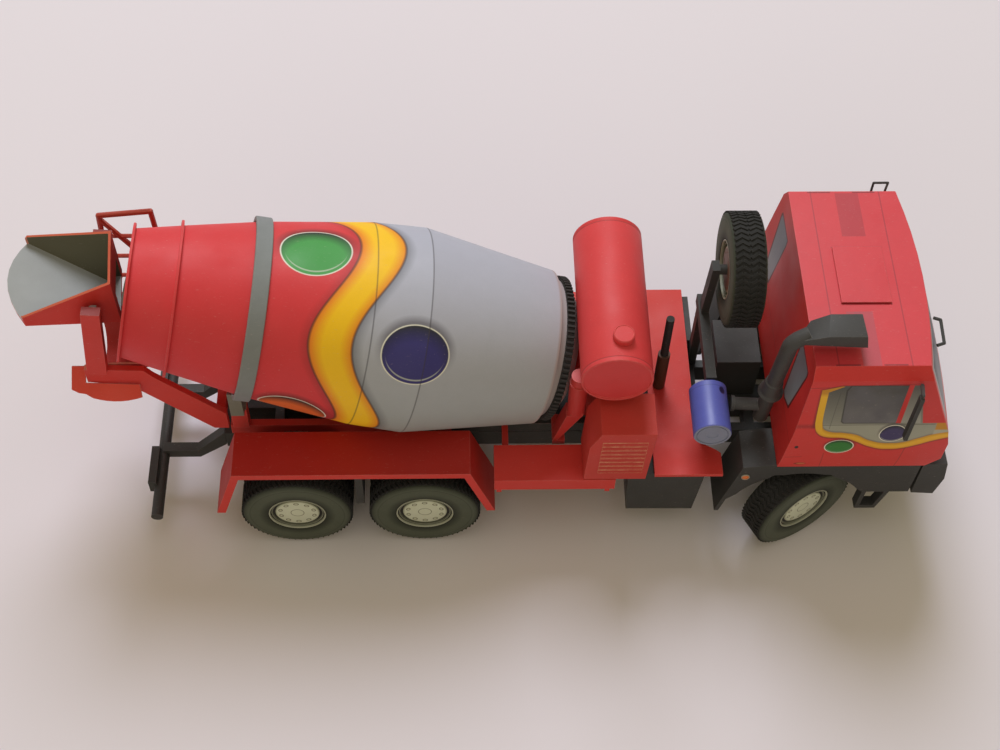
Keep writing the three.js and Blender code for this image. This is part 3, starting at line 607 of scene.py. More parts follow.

# %% [markdown]
# ## The hopper and its chute
# The hopper is a funnel of thin sheets: red outside, pale grey on the sloping floor
# and a dark olive on the walls, which is painted shade. The chute's faces that look up
# get the same dark olive as painted shadow under the hopper. The rim is a cut edge, so
# it shows as a thin orange red line all round.

# %% Fold the hopper
HOPPER_FLOOR = card("hopper_floor_grey", "9a9b9e", core="c9c4ba", fibre=0.12)
# Dark olive painted shade for the hopper's walls and the chute's faces that look up.
OLIVE_PAINTED_SHADE = card("hopper_wall_olive", "5d5a49", core="8b8672")
RIM = card("hopper_rim_orange", "bd4f30", core="d88a68")
hopper_low, hopper_high = (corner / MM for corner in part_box("hopper"))
hopper_middle = (hopper_low + hopper_high) / 2 - Vector((SHIFT, 0, 0))


def hopper_rule(middle, normal, width):
    """The outside, the floor, the walls or the rim, from the way a face points."""
    outward = Vector((middle.x - hopper_middle.x, middle.y, 0)).dot(Vector((normal.x, normal.y, 0)))
    if normal.z > 0.75:
        return 1 if middle.z < hopper_high.z - 4 else 3
    if normal.z < -0.3 or outward > 0:
        return 0
    return 1 if normal.z > 0.35 else 2


def chute_inside(middle, normal, width):
    """The second material, olive painted shadow, for the faces that look up."""
    return 1 if normal.z > 0.1 else 0


hopper = fold("hopper", [RED, HOPPER_FLOOR, OLIVE_PAINTED_SHADE, RIM], "grey_card", hopper_rule)
fold("feed_chute", [GREY, OLIVE_PAINTED_SHADE], "grey_card", chute_inside, smooth=40)
print("hopper faces:", len(hopper.data.polygons))

# %% [markdown]
# ## Turned pieces
# A rolled tube or a stack of card discs is round. A profile of radius and height is
# spun into rings of points, and faces join ring to ring. A profile that ends on the
# axis closes there with a fan, so that there is no hole at the pole.

# %% Spin a profile
def mesh_of(shape, name):
    """The plain mesh of a shape, with its faces turned outwards."""
    bmesh.ops.recalc_face_normals(shape, faces=shape.faces)
    mesh = bpy.data.meshes.new(name)
    shape.to_mesh(mesh)
    shape.free()
    return mesh


def skin(shape, rings, start_open=False):
    """Faces from ring to ring, and one over each end."""
    count = len(rings[0])
    for low, high in zip(rings, rings[1:]):
        for i in range(count):
            j = (i + 1) % count
            shape.faces.new((low[i], low[j], high[j], high[i]))
    if not start_open:
        shape.faces.new(rings[0][::-1])
    shape.faces.new(rings[-1])


def spin(profile, sides=96, closed=False):
    """A mesh from (radius, height) pairs in millimetres, with the height along local Z."""
    shape = bmesh.new()
    rings = []
    for radius, height in profile:
        if radius < 1e-6:
            rings.append([shape.verts.new((0, 0, height))])
        else:
            rings.append([shape.verts.new((radius * math.cos(a), radius * math.sin(a), height))
                          for a in (2 * math.pi * i / sides for i in range(sides))])
    pairs = list(zip(rings, rings[1:])) + ([(rings[-1], rings[0])] if closed else [])
    for low, high in pairs:
        for i in range(sides):
            j = (i + 1) % sides
            corners = [low[i % len(low)], low[j % len(low)], high[j % len(high)], high[i % len(high)]]
            unique = list(dict.fromkeys(corners))
            if len(unique) > 2:
                shape.faces.new(unique)
    return mesh_of(shape, "spun")


print("spin makes", len(spin([(0, 0), (4, 0), (4, 3), (0, 3)], 12).polygons), "faces for a small cap")

# %% [markdown]
# ## Stand a turned piece up
# A profile is spun round local Z and in millimetres. One matrix turns Z to the piece's
# own axis, scales it to metres and moves it to its place, and it goes into the mesh.

# %% Place what was spun
def stand(along, start):
    """The matrix that lays local Z, in millimetres, along a direction from a point in metres."""
    z = Vector(along).normalized()
    up = Vector((0, 0, 1)) if abs(z.z) < 0.9 else Vector((1, 0, 0))
    x = (up - z * up.dot(z)).normalized()
    y = z.cross(x)
    turned = Matrix((x, y, z)).transposed().to_4x4()
    return Matrix.Translation(start) @ turned @ Matrix.Scale(MM, 4)


def spun_piece(name, profile, along, start, materials, body, slot, nodes=(), sides=96, closed=False,
               smooth=30):
    """A turned piece in its place, ready to move with its body."""
    mesh = spin(profile, sides, closed)
    mesh.transform(stand(along, start))
    smooth_faces(mesh, smooth)
    return settle(as_piece(name, mesh, materials), body, slot, *nodes)


drum_axis = stand(DRUM_ALONG, DRUM_START).col[2]
print("the drum's axis in its matrix:", [round(c / MM, 3) for c in drum_axis[:3]])

# %% [markdown]
# ## A tree that repeats one shape round an axis
# Tread blocks, gear teeth and wheel bolts are all one small shape, repeated on a
# circle. A Geometry Nodes tree does it with named inputs, so the count or the
# radius can change without touching the shape. Each copy may be turned or moved a
# little at random, from a fixed seed, because hand cut parts never match.

# %% Build the round row tree
def geometry_tree(name, inputs):
    """A Geometry Nodes tree with a Geometry socket each way, and named inputs."""
    shape_socket = ("Geometry", "Geometry", None)
    tree, given, result = new_group(name, "GeometryNodeTree", [shape_socket, *inputs], [shape_socket])
    return tree, given, result, Wiring(tree)


def finish_tree(w, result, geometry, material):
    """Makes the copies real and gives them their card, which each tree ends with."""
    real = w.node("GeometryNodeRealizeInstances", {"Geometry": geometry}).outputs[0]
    carded = w.node("GeometryNodeSetMaterial", {"Geometry": real, "Material": material}).outputs[0]
    w.put(result["Geometry"], carded)


def grow(tree, name, values, base=None):
    """Runs a tree on a base mesh and returns the plain mesh that comes out."""
    carrier = bpy.data.objects.new(name, base or bpy.data.meshes.new(name))
    bpy.context.scene.collection.objects.link(carrier)
    modifier = carrier.modifiers.new(tree.name, "NODES")
    modifier.node_group = tree
    places = {item.name: item.identifier for item in tree.interface.items_tree if item.in_out == "INPUT"}
    for key, value in values.items():
        modifier[places[key]] = value
    bpy.context.view_layer.update()
    mesh = bpy.data.meshes.new_from_object(carrier.evaluated_get(bpy.context.evaluated_depsgraph_get()))
    carrier.modifiers.clear()
    bpy.data.objects.remove(carrier)
    return mesh


round_row, given, result, w = geometry_tree("round_row", [
    ("Count", "Int", 10), ("Radius", "Float", 5.0), ("Height", "Float", 0.0), ("Start angle", "Float", 0.0),
    ("Lean", "Float", 0.0), ("Wander", "Float", 0.0), ("Seed", "Int", 1), ("Card", "Material", None)])
points = w.node("GeometryNodeMeshLine", {"Count": given["Count"], "Offset": (0, 0, 0)})
index = w.node("GeometryNodeInputIndex").outputs[0]
step = w.div(2 * math.pi, given["Count"])
angle = w.add(w.mul(index, step), given["Start angle"])
stray = w.stray(given["Wander"], given["Seed"])
spot = w.node("ShaderNodeCombineXYZ", {
    0: w.mul(w.math("COSINE", angle), given["Radius"]),
    1: w.mul(w.math("SINE", angle), given["Radius"]),
    2: w.add(given["Height"], stray)}).outputs[0]
placed = w.node("GeometryNodeSetPosition", {"Geometry": points.outputs[0], "Position": spot})
facing = w.node("ShaderNodeCombineXYZ", {0: 0.0, 1: 0.0, 2: angle}).outputs[0]
lean_now = w.add(given["Lean"], w.mul(stray, 0.4))
tilted = w.node("ShaderNodeCombineXYZ", {0: lean_now, 1: 0.0, 2: 0.0}).outputs[0]
turned = w.node("FunctionNodeRotateRotation", {
    0: w.node("FunctionNodeEulerToRotation", {0: tilted}).outputs[0],
    1: w.node("FunctionNodeEulerToRotation", {0: facing}).outputs[0]}, rotation_space="GLOBAL").outputs[0]
copies = w.node("GeometryNodeInstanceOnPoints", {
    "Points": placed.outputs[0], "Instance": given["Geometry"], "Rotation": turned})
finish_tree(w, result, copies.outputs[0], given["Card"])
print("round row inputs:", [i.name for i in round_row.interface.items_tree if i.in_out == "INPUT"])

# %% [markdown]
# ## A tree that repeats one shape in a straight line
# The cooler's louvres are strips at an even step, so they get a straight row.

# %% Build the straight row tree
straight_row, given, result, w = geometry_tree("straight_row", [
    ("Count", "Int", 8), ("Start", "Vector", None), ("Step", "Vector", None), ("Wander", "Float", 0.0),
    ("Seed", "Int", 1), ("Card", "Material", None)])
line = w.node("GeometryNodeMeshLine", {
    "Count": given["Count"], "Start Location": given["Start"], "Offset": given["Step"]})
skew = w.stray(given["Wander"], given["Seed"])
tip = w.node("ShaderNodeCombineXYZ", {0: 0.0, 1: skew, 2: 0.0}).outputs[0]
copies = w.node("GeometryNodeInstanceOnPoints", {
    "Points": line.outputs[0], "Instance": given["Geometry"],
    "Rotation": w.node("FunctionNodeEulerToRotation", {0: tip}).outputs[0]})
finish_tree(w, result, copies.outputs[0], given["Card"])
print("straight row nodes:", len(straight_row.nodes))

# %% [markdown]
# ## The drum's own tree
# The drum is cones of card glued rim to rim. Its wall is a grid: one way runs round
# the drum and the other along a list of rims, out to the nose and back inside.
# The radius between two rims is a straight line, so a rim's station and radius are
# all that the tree has to know, and they are its inputs.

# %% Build the drum tree
RIMS = [("Mouth", -48.9, 19.4), ("Stiffener", -34.6, 22.3), ("Ring seat", -10.9, 26.9),
        ("Belly rear", 22.4, 31.5), ("Belly front", 39.0, 32.2), ("Nose", 80.7, 24.6), ("Neck", 81.3, 21.8),
        ("Neck end", 85.6, 21.8), ("End", 88.6, 17.0), ("Shaft", 88.6, 4.0)]
STATION = {name: station for name, station, _ in RIMS}
rim_inputs = []
for rim, rim_station, rim_radius in RIMS:
    rim_inputs.append((f"{rim} station", "Float", rim_station))
    rim_inputs.append((f"{rim} radius", "Float", rim_radius))
drum_wall, given, result, w = geometry_tree("drum_wall", [
    ("Sides", "Int", 120), ("Wall", "Float", 1.0), ("Card", "Material", None), *rim_inputs])
count = len(RIMS)
grid = w.node("GeometryNodeMeshGrid", {
    "Size X": 1.0, "Size Y": 1.0, "Vertices X": 2 * count + 1, "Vertices Y": w.add(given["Sides"], 1.0)})
u, v, _ = w.node("ShaderNodeSeparateXYZ", {0: w.node("GeometryNodeInputPosition").outputs[0]}).outputs
row = w.mul(w.add(u, 0.5), 2.0 * count)
rim_number = w.math("MAXIMUM", w.math("MINIMUM", row, w.sub(2.0 * count - 1, row)), 0.0)
inner = w.mul(w.math("GREATER_THAN", row, count - 0.5), w.math("LESS_THAN", row, 2 * count - 0.5))


def along_rims(what):
    """The station or radius at a rim number, straight between whole numbers."""
    total = given[f"{RIMS[0][0]} {what}"]
    for i in range(count - 1):
        rise = w.sub(given[f"{RIMS[i + 1][0]} {what}"], given[f"{RIMS[i][0]} {what}"])
        total = w.add(total, w.ramp(rim_number, float(i), float(i + 1), 0.0, rise))
    return total


back = w.mul(w.ramp(rim_number, count - 3.5, count - 2.5), given["Wall"])
station = w.sub(along_rims("station"), w.mul(inner, back))
radius = w.sub(along_rims("radius"), w.mul(inner, given["Wall"]))
around = w.mul(w.add(v, 0.5), -2 * math.pi)
spot = w.node("ShaderNodeCombineXYZ", {0: w.mul(w.math("COSINE", around), radius),
                                       1: w.mul(w.math("SINE", around), radius), 2: station}).outputs[0]
moved = w.node("GeometryNodeSetPosition", {"Geometry": grid.outputs["Mesh"], "Position": spot})
joined = w.node("GeometryNodeMergeByDistance", {"Geometry": moved.outputs[0], "Distance": 0.002})
finish_tree(w, result, joined.outputs[0], given["Card"])
print("drum tree nodes:", len(drum_wall.nodes))

# %% [markdown]
# ## The ringed spot
# The livery has large drops of colour. Each is an ellipse with a thin white outline,
# a soft dark shadow above it, a dark shade under its upper rim and a light crescent
# near the bottom, so that it looks like a glass bead. The drum and the cab both carry
# them, so the spot is a node group.

# %% The ringed spot group
ringed_spot, given, result = new_group(
    "ringed_spot", "ShaderNodeTree",
    [("Along", "Float", 0.0), ("Up", "Float", 0.0), ("Half length", "Float", 10.0),
     ("Half height", "Float", 9.0), ("Rim", "Float", 0.035), ("Shade", "Float", 0.84),
     ("Under", "Color", (0.5, 0, 0, 1)), ("Fill", "Color", (0, 0.5, 0, 1))],
    [("Ink", "Color", None)])
w = Inking(ringed_spot)
a = w.div(given["Along"], given["Half length"])
b = w.div(given["Up"], given["Half height"])


def reach(shift, stretch):
    """Distance from the spot's middle, moved up by shift and grown by stretch."""
    up = w.sub(b, shift)
    return w.div(w.math("SQRT", w.add(w.both(a, a), w.both(up, up))), stretch)


far = reach(0.0, 1.0)
halo = w.both(w.ramp(reach(0.1, 1.0), 0.98, 1.22, 0.6, 0.0), w.ramp(b, -0.6, 0.5))
ink_now = w.mix(halo, given["Under"], ink("2a1a18"))
inside_rim = w.sub(1.0, given["Rim"])
fill = w.mix(w.both(w.ramp(reach(-0.34, 1.0), given["Shade"], 1.26), 0.97), given["Fill"], ink("0c0d0a"))
crescent = w.both(w.ramp(reach(0.07, 0.87), 1.0, 1.03), w.ramp(far, 0.85, 0.88, 1.0, 0.0))
fill = w.mix(w.both(w.both(crescent, w.ramp(b, 0.0, -0.5)), 0.55), fill, ink("d8dcd0"))
line = w.ramp(w.sub(far, inside_rim), -0.012, 0.012)
spot = w.mix(line, fill, ink("e6e2d8"))
w.put(result["Ink"], w.mix(w.ramp(far, 0.99, 1.015, 1.0, 0.0), ink_now, spot))
print("ringed spot nodes:", len(ringed_spot.nodes))

# %% [markdown]
# ## The drum's livery
# A yellow wave runs round the drum three times. Behind it the card is red and in
# front of it silver grey. The wave's two edges are cosines of the angle round the
# axis, so it closes on itself. Beads sit in the wave's bays, three on each side.

# %% Print the drum
WAVE_REAR, WAVE_FRONT = (11.0, 6.4, 11.0), (24.05, 6.75, 11.5)


def spots(w, under, station, degrees, radius, at_station, at_angle, size, shade, fills):
    """Three ringed spots, a third of a turn apart."""
    third = w.div(w.add(degrees, 60.0 - at_angle), 120.0)
    local = w.sub(w.mul(w.math("FRACT", w.add(third, 9.0)), 120.0), 60.0)
    up = w.both(w.mul(local, -math.pi / 180), radius)
    number = w.math("MODULO", w.math("FLOOR", w.add(third, 9.0)), 3.0)
    fill = w.mix(w.math("GREATER_THAN", number, 0.5), ink(fills[0]), ink(fills[1]))
    fill = w.mix(w.math("GREATER_THAN", number, 1.5), fill, ink(fills[2]))
    return w.group(ringed_spot, {
        "Along": w.sub(station, at_station), "Up": up, "Half length": size[0], "Half height": size[1],
        "Shade": shade, "Under": under, "Fill": fill})["Ink"]


def drum_prints(w, x, y, z, plain):
    fx = w.sub(x, DRUM_START.x / MM - SHIFT)
    fz = w.sub(z, DRUM_START.z / MM)
    station = w.add(w.both(fx, DRUM_ALONG.x), w.both(fz, DRUM_ALONG.z))
    upward = w.add(w.both(fx, DRUM_UP.x), w.both(fz, DRUM_UP.z))
    degrees = w.mul(w.math("ARCTAN2", w.mul(y, -1.0), upward), 180 / math.pi)
    radius = w.math("SQRT", w.add(w.both(y, y), w.both(upward, upward)))
    edges = []
    for middle, swing, phase in (WAVE_REAR, WAVE_FRONT):
        wave = w.math("COSINE", w.mul(w.add(degrees, phase), 3 * math.pi / 180))
        edges.append(w.sub(station, w.add(w.both(wave, swing), middle)))
    rear, front = edges
    # The silver is darker and greener low on the drum, as painted shade, and paler and bluer high up, as
    # painted light from above.
    silver = w.mix(w.ramp(upward, -25.0, 30.0), ink("8f958b"), ink("b2b2c4"))
    silver = w.mix(w.ramp(station, 79.8, 80.4), silver, ink("a5989b"))
    where = (station, degrees, radius)
    red = spots(w, plain, *where, 4.3, -6.5, (10.6, 9.2), 0.8, ("3c9440", "e0662a", "3a62a8"))
    grey = spots(w, silver, *where, 36.0, 49.5, (10.3, 9.3), 0.76, ("2f2968", "3c9440", "e0662a"))
    yellow = w.mix(w.ramp(rear, 0.2, 4.2), ink("ea7a14"), ink("fac40a"))
    yellow = w.mix(w.ramp(front, -3.6, -0.2), yellow, ink("ea8a14"))
    # The dark band behind the wave's rear edge is printed; it is darker low on the drum, which is painted
    # shade.
    shade = w.ramp(rear, -3.2, 0.0, 0.0, 0.55)
    red = w.mix(w.both(shade, w.ramp(upward, -30.0, 28.0, 1.0, 0.5)), red, ink("4a1a14"))
    grey = w.mix(w.ramp(front, 0.0, 3.4, 0.55, 0.0), grey, ink("3a3a3c"))
    marked = w.mix(w.ramp(rear, -0.15, 0.15), red, yellow)
    marked = w.mix(w.ramp(front, -0.15, 0.15), marked, grey)
    for edge in (rear, front):
        marked = w.mix(w.both(w.ramp(w.absolute(edge), 0.15, 0.6, 1.0, 0.0), 0.7), marked, ink("33261a"))
    for seam in (STATION["Belly rear"], STATION["Belly front"]):
        marked = w.mix(w.line(station, seam, 0.12, 0.32, 0.55), marked, ink("2c2522"))
    glued = w.both(w.math("GREATER_THAN", w.absolute(degrees), 178.9), 0.35)
    inner_face = w.ramp(station, STATION["Mouth"], STATION["Belly front"], 19.0, 31.6)
    inside = w.ramp(w.sub(radius, inner_face), -0.4, -0.2, 0.85, 0.0)
    inside = w.both(inside, w.math("LESS_THAN", station, 40.0))
    return w.mix(inside, w.mix(glued, marked, ink("2c2522")), ink("6a6158"))


DRUM_CARD = card("drum_livery", "d4343a", core="d8a8a0", blotch=0.09, wear=0.3, prints=drum_prints)
print("drum livery nodes:", len(DRUM_CARD.node_tree.nodes))

# %% [markdown]
# ## The drum
# The wall comes from its tree. The two flanges, the running ring and the shaft are
# laminated from strips of card, so they are spun profiles with small chamfers.

# %% Make the drum
wall = grow(drum_wall, "drum_wall", {"Card": DRUM_CARD})
wall.transform(stand(DRUM_ALONG, DRUM_START))
shape = bmesh.new()
shape.from_mesh(wall)
bmesh.ops.recalc_face_normals(shape, faces=shape.faces)
shape.to_mesh(wall)
shape.free()
smooth_faces(wall, 8)
settle(as_piece("drum_body", wall), "drum", "red_card", "drum_shell")


def hoop(name, inner, outer, start, end, material, nodes=(), chamfer=0.15, slot="red_card"):
    """A ring on the drum's axis, with its two outer edges chamfered."""
    near, far, side = start + chamfer, end - chamfer, outer - chamfer
    profile = [(inner, start), (side, start), (outer, near), (outer, far), (side, end), (inner, end)]
    return spun_piece(name, profile, DRUM_ALONG, DRUM_START, [material], "drum", slot, nodes,
                      sides=120, closed=True, smooth=20)


hoop("drum_mouth_flange", 19.2, 21.2, -48.9, -48.1, DRUM_CARD)
hoop("drum_stiffener", 22.0, 24.0, -35.0, -34.2, DRUM_CARD)
RING_GREY = card("ring_grey_card", "7f8284", core="b0aca4", gloss=0.6, blotch=0.2)
hoop("drum_running_ring", 26.9, 28.4, -13.4, -8.4, RING_GREY, ["drum_ring"], 0.25, "grey_card")
SHAFT = [(0, 86.5), (4, 86.5), (4, 93.8), (3.8, 94), (0, 94)]
spun_piece("drum_shaft", SHAFT, DRUM_ALONG, DRUM_START, [BLACK], "drum", "black_card", sides=32)
print("drum wall faces:", len(wall.polygons))

# %% [markdown]
# ## The drum's gear
# The drive gear is a black disc with fine teeth. One tooth is drawn as a small
# tapered block, and the round row tree copies it 84 times.

# %% Make the gear
def tapered_block(length, width, height, taper=0.7, chamfer=0.12):
    """A block that stands out along local X, with a narrower top and a chamfer round it."""
    shape = bmesh.new()
    rings = []
    for x, share, short in ((0, 1.0, 0), (height - chamfer, taper, 0), (height, taper * 0.86, chamfer)):
        across, along = width / 2 * share, length / 2 - short
        rings.append([shape.verts.new((x, sy * across, sz * along))
                      for sy, sz in ((-1, -1), (1, -1), (1, 1), (-1, 1))])
    skin(shape, rings)
    return mesh_of(shape, "block")


def merged(name, parts):
    """Several meshes as one. Materials keep their places."""
    shape = bmesh.new()
    materials = []
    for part in parts:
        at_face = len(shape.faces)
        shape.from_mesh(part)
        shape.faces.ensure_lookup_table()
        used = list(part.materials)
        for face in list(shape.faces)[at_face:]:
            material = used[face.material_index] if used else None
            if material not in materials:
                materials.append(material)
            face.material_index = materials.index(material)
    mesh = bpy.data.meshes.new(name)
    shape.to_mesh(mesh)
    shape.free()
    for material in materials:
        mesh.materials.append(material)
    return mesh


def with_material(mesh, material):
    """The same mesh, in one material."""
    mesh.materials.clear()
    mesh.materials.append(material)
    return mesh


TOOTH = {"Count": 84, "Radius": 22.2, "Height": 84.3, "Card": SOFT_BLACK, "Seed": 4, "Wander": 0.04}
teeth = grow(round_row, "gear_teeth", TOOTH, tapered_block(2.3, 1.1, 0.98, 0.6))
DISC_PROFILE = [(21.9, 83.1), (22.4, 83.1), (22.4, 85.5), (21.9, 85.5)]
disc = with_material(spin(DISC_PROFILE, 120, True), SOFT_BLACK)
gear = merged("gear", [disc, teeth])
gear.transform(stand(DRUM_ALONG, DRUM_START))
smooth_faces(gear, 25)
settle(as_piece("drum_drive_gear", gear), "drum", "black_card", "drum_gear")
print("gear faces:", len(gear.polygons))

# %% [markdown]
# ## Wheels
# A wheel is two printed discs with a rolled strip between them. The sidewall is
# printed olive grey and darker towards the rim. Inside it are two thin pale rims with a
# gap between them, dark with painted shade, and a grey green hub disc, nearly flush,
# with ten bolts outlined in brown.
# Round prints need the distance from the wheel's own middle, so each wheel's mesh
# carries that as an attribute, and all wheels share one material.

# %% Print the wheel
def wheel_attribute(w):
    """Where a point is across its wheel's face, and how far from the middle."""
    spot = w.node("ShaderNodeAttribute", attribute_name="wheel_place").outputs["Vector"]
    u, v, _ = w.node("ShaderNodeSeparateXYZ", {0: spot}).outputs
    return u, v, w.math("SQRT", w.add(w.both(u, u), w.both(v, v)))


def tyre_prints(w, x, y, z, plain):
    _, _, far = wheel_attribute(w)
    wall = w.mix(w.ramp(far, 9.2, 12.5), ink("26281f"), ink("52564a"))
    wall = w.mix(w.ramp(far, 15.8, 17.4), wall, ink("33362c"))
    wall = w.mix(w.line(far, 15.2, 0.08, 0.25, 0.35), wall, ink("2b2a25"))
    return w.mix(w.ramp(far, 17.25, 17.45), wall, ink("242321"))


def disc_prints(w, x, y, z, plain):
    u, v, far = wheel_attribute(w)
    tone = w.mix(w.ramp(far, 6.4, 7.1), plain, ink("a5a792"))
    tone = w.mix(w.line(far, 2.1, 0.06, 0.2, 0.8), tone, ink("5f5c44"))
    tenth = w.div(w.math("ARCTAN2", v, u), math.pi / 5)
    side = w.mul(w.sub(w.math("FRACT", w.add(tenth, 10.5)), 0.5), 5.6 * math.pi / 5)
    _, oval = w.disc(side, w.sub(far, 5.6), (0, 0), (0.8, 0.62))
    return w.mix(w.line(oval, 0.92, 0.1, 0.3, 0.9), tone, ink("4a4128"))


TYRE = card("tyre_card", "4a493e", gloss=0.72, core="6a685c", wear=0.25, blotch=0.25, fibre=0.08,
            prints=tyre_prints, shine=0.25)
TREAD = card("tread_card", "232220", gloss=0.75, core="45433f", wear=0.5, blotch=0.2, fibre=0.1, shine=0.25)
DISC = card("wheel_disc_card", "d0d3c2", gloss=0.5, core="dedbcb", wear=0.2, prints=disc_prints, blotch=0.1)
RIM_LINE = card("rim_pale_card", "a4a596", gloss=0.45, core="cfcdbc", wear=0.6)
INNER_RIM = card("rim_grey_card", "6d6e60", gloss=0.5, core="a8a898", wear=0.6)
# The dark gap in a wheel's rim and the spacer between twin tyres are painted shade.
GAP_SHADE_DARK = card("gap_shade_dark_card", "2c2a26", gloss=0.7, core="4a4740", wear=0.3)
BOLT = card("bolt_card", "c0c2ae", gloss=0.45, core="e0dccb", wear=0.4)
print("wheel finishes made")

# %% [markdown]
# ## The tread
# The tread is a strip of black card printed with fine zigzags. Four rows of slanted
# blocks lean one way and the other, all from the round row tree with another seed each.
# The blocks reach the radius of the CAD wheel, so it stands on the ground.

# %% Make the tyre
TREAD_BLOCKS, TREAD_RADIUS, FIRST_ROW, ROW_STEP, ROW_LEAN = 58, 17.47, 1.75, 2.3, 0.55
TYRE_WIDTH, TWIN_STEP = 10.4, 11.4


def tread(start, seed):
    """Four rows of slanted blocks on a tyre that starts at this height."""
    rows = []
    for i in range(4):
        values = {"Count": TREAD_BLOCKS, "Radius": TREAD_RADIUS, "Height": start + FIRST_ROW + ROW_STEP * i,
                  "Lean": ROW_LEAN * (-1) ** i, "Wander": 0.03, "Seed": seed + i, "Card": TREAD}
        rows.append(grow(round_row, "tread", values, tapered_block(2.35, 1.05, 0.5, 0.85)))
    return rows


def tyre_body(start):
    """The tyre's section, from the hub's edge out to the tread and back."""
    half = [(9.6, 0.12), (11, 0), (16.2, 0), (17.0, 0.25), (17.4, 0.75), (17.52, 1.4)]
    end = start + TYRE_WIDTH
    outer_wall = [(radius, start + inset) for radius, inset in half]
    inner_wall = [(radius, end - inset) for radius, inset in reversed(half)]
    section = [(8.8, end - 0.4), (9.2, start + 0.4), *outer_wall, *inner_wall]
    return with_material(spin(section, 96, True), TYRE)


print("tyre width:", TYRE_WIDTH, "mm, step between twins:", TWIN_STEP, "mm")

# %% [markdown]
# ## The hub
# From outside in come two thin rims, a well between them, dark with painted shade, and
# the disc with its bolts. They are spun apart, because each has its own finish, and then
# merged. Twin tyres and single ones share the tread and the hub, and differ only in depth.

# %% Make the hub and both kinds of wheel
def oval_bolt():
    """A low oval dome that faces outwards, against local Z."""
    shape = bmesh.new()
    turns = [2 * math.pi * i / 12 for i in range(12)]
    across, along = 0.42, 0.55
    rings = [[shape.verts.new((across * share * math.cos(a), along * share * math.sin(a), -rise))
              for a in turns]
             for share, rise in ((1, -0.05), (1, 0.05), (0.8, 0.1), (0.35, 0.12))]
    skin(shape, rings, start_open=True)
    return mesh_of(shape, "bolt")


def hub_parts(deep):
    """Two thin rims, the gap inside them, dark with painted shade, and the disc, a little behind the tyre's
    face.
    """
    rim = [(8.75, 0.9), (8.8, 0.35), (8.95, 0.2), (9.2, 0.25), (9.25, 0.6), (9.25, deep), (8.75, deep)]
    inner = [(8.0, 2.0), (8.05, 0.85), (8.15, 0.75), (8.4, 0.8), (8.45, 2.0)]
    well = [(8.75, 0.85), (8.6, 1.4), (7.2, 1.5), (7.0, 1.6), (7.0, 3.8), (8.75, 3.8)]
    face = [(0, 0.9), (6.85, 0.9), (7.05, 1.0), (7.1, 1.25), (7.1, 3.4), (0, 3.4)]
    rings = [with_material(spin(profile, 72, True), material)
             for profile, material in ((rim, RIM_LINE), (inner, INNER_RIM), (well, GAP_SHADE_DARK))]
    bolts = grow(round_row, "bolts", {"Count": 10, "Radius": 5.6, "Height": 0.9, "Card": BOLT}, oval_bolt())
    return [*rings, with_material(spin(face, 72), DISC), bolts]


def remember_place(mesh):
    """Keeps each point's place in the wheel as an attribute for the prints."""
    kept = mesh.attributes.new("wheel_place", "FLOAT_VECTOR", "POINT")
    kept.data.foreach_set("vector", [c for v in mesh.vertices for c in v.co])
    return mesh


single_tyre = remember_place(merged("tyre", [tyre_body(0), *tread(0, 11)]))
# The spacer between twin tyres is dark with painted shade.
SPACER = [(8.8, 9.5), (12.0, 9.5), (12.0, 12.3), (8.8, 12.3)]
twin_tyre = remember_place(merged("twin_tyre", [
    tyre_body(0), *tread(0, 11), tyre_body(TWIN_STEP), *tread(TWIN_STEP, 31),
    with_material(spin(SPACER, 72, True), GAP_SHADE_DARK)]))
single_hub, twin_hub = (remember_place(merged("hub", hub_parts(deep))) for deep in (10, 21))
print("faces of a tyre, a twin and a hub:", [len(m.polygons) for m in (single_tyre, twin_tyre, single_hub)])

# %% [markdown]
# ## Put the wheels on their axles
# A joint says where a wheel turns and about which line. How far its outer face
# stands along that line is measured on the CAD wheel itself.

# %% Place the wheels
def put_wheel(name, centre, outward, body, twin):
    """A tyre and a disc of their own, with the disc's face to the outside."""
    outward = Vector(outward).normalized()
    reach_out = max((v.co - centre).dot(outward) for v in frame["nodes"][name].data.vertices)
    place = stand(-outward, centre + outward * reach_out)
    tyre, disc = (twin_tyre, twin_hub) if twin else (single_tyre, single_hub)
    for what, mesh, slot, nodes in (("tyre", tyre, "tyre_card", [name]), ("disc", disc, "silver_card", [])):
        copy = mesh.copy()
        copy.transform(place)
        smooth_faces(copy, 30)
        settle(as_piece(f"{name}_{what}", copy), body, slot, *nodes)


for joint_name, joint in joints.items():
    if joint_name.endswith("_roll"):
        axis, side = Vector(joint["axis"]), -1 if "_right" in joint_name else 1
        outward = axis if axis.y * side > 0 else -axis
        put_wheel(joint["child"], Vector(joint["pos_m"]), outward, joint["child"], "front" not in joint_name)
spare_low, spare_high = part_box("spare_wheel")
put_wheel("spare_wheel", (spare_low + spare_high) / 2, (-1, 0, 0), own_body("spare_wheel"), False)
SPARE_DISC = card("spare_disc_card", "6b4c40", core="a08878", wear=0.3, prints=disc_prints)
spare_hub = bpy.data.objects["spare_wheel_disc"].data
for i, material in enumerate(spare_hub.materials):
    if material in (DISC, BOLT):
        spare_hub.materials[i] = SPARE_DISC

# %% [markdown]
# ## The cab's printed sides
# Everything on the cab is drawn: windows, the yellow wave, two beads, seams. The side
# print uses x and z only, so both sides get the same drawing, as on the sheet of card.
# The wave's two edges are free curves, so each is a Float Curve node through a few
# points, and the yellow is what lies between them.

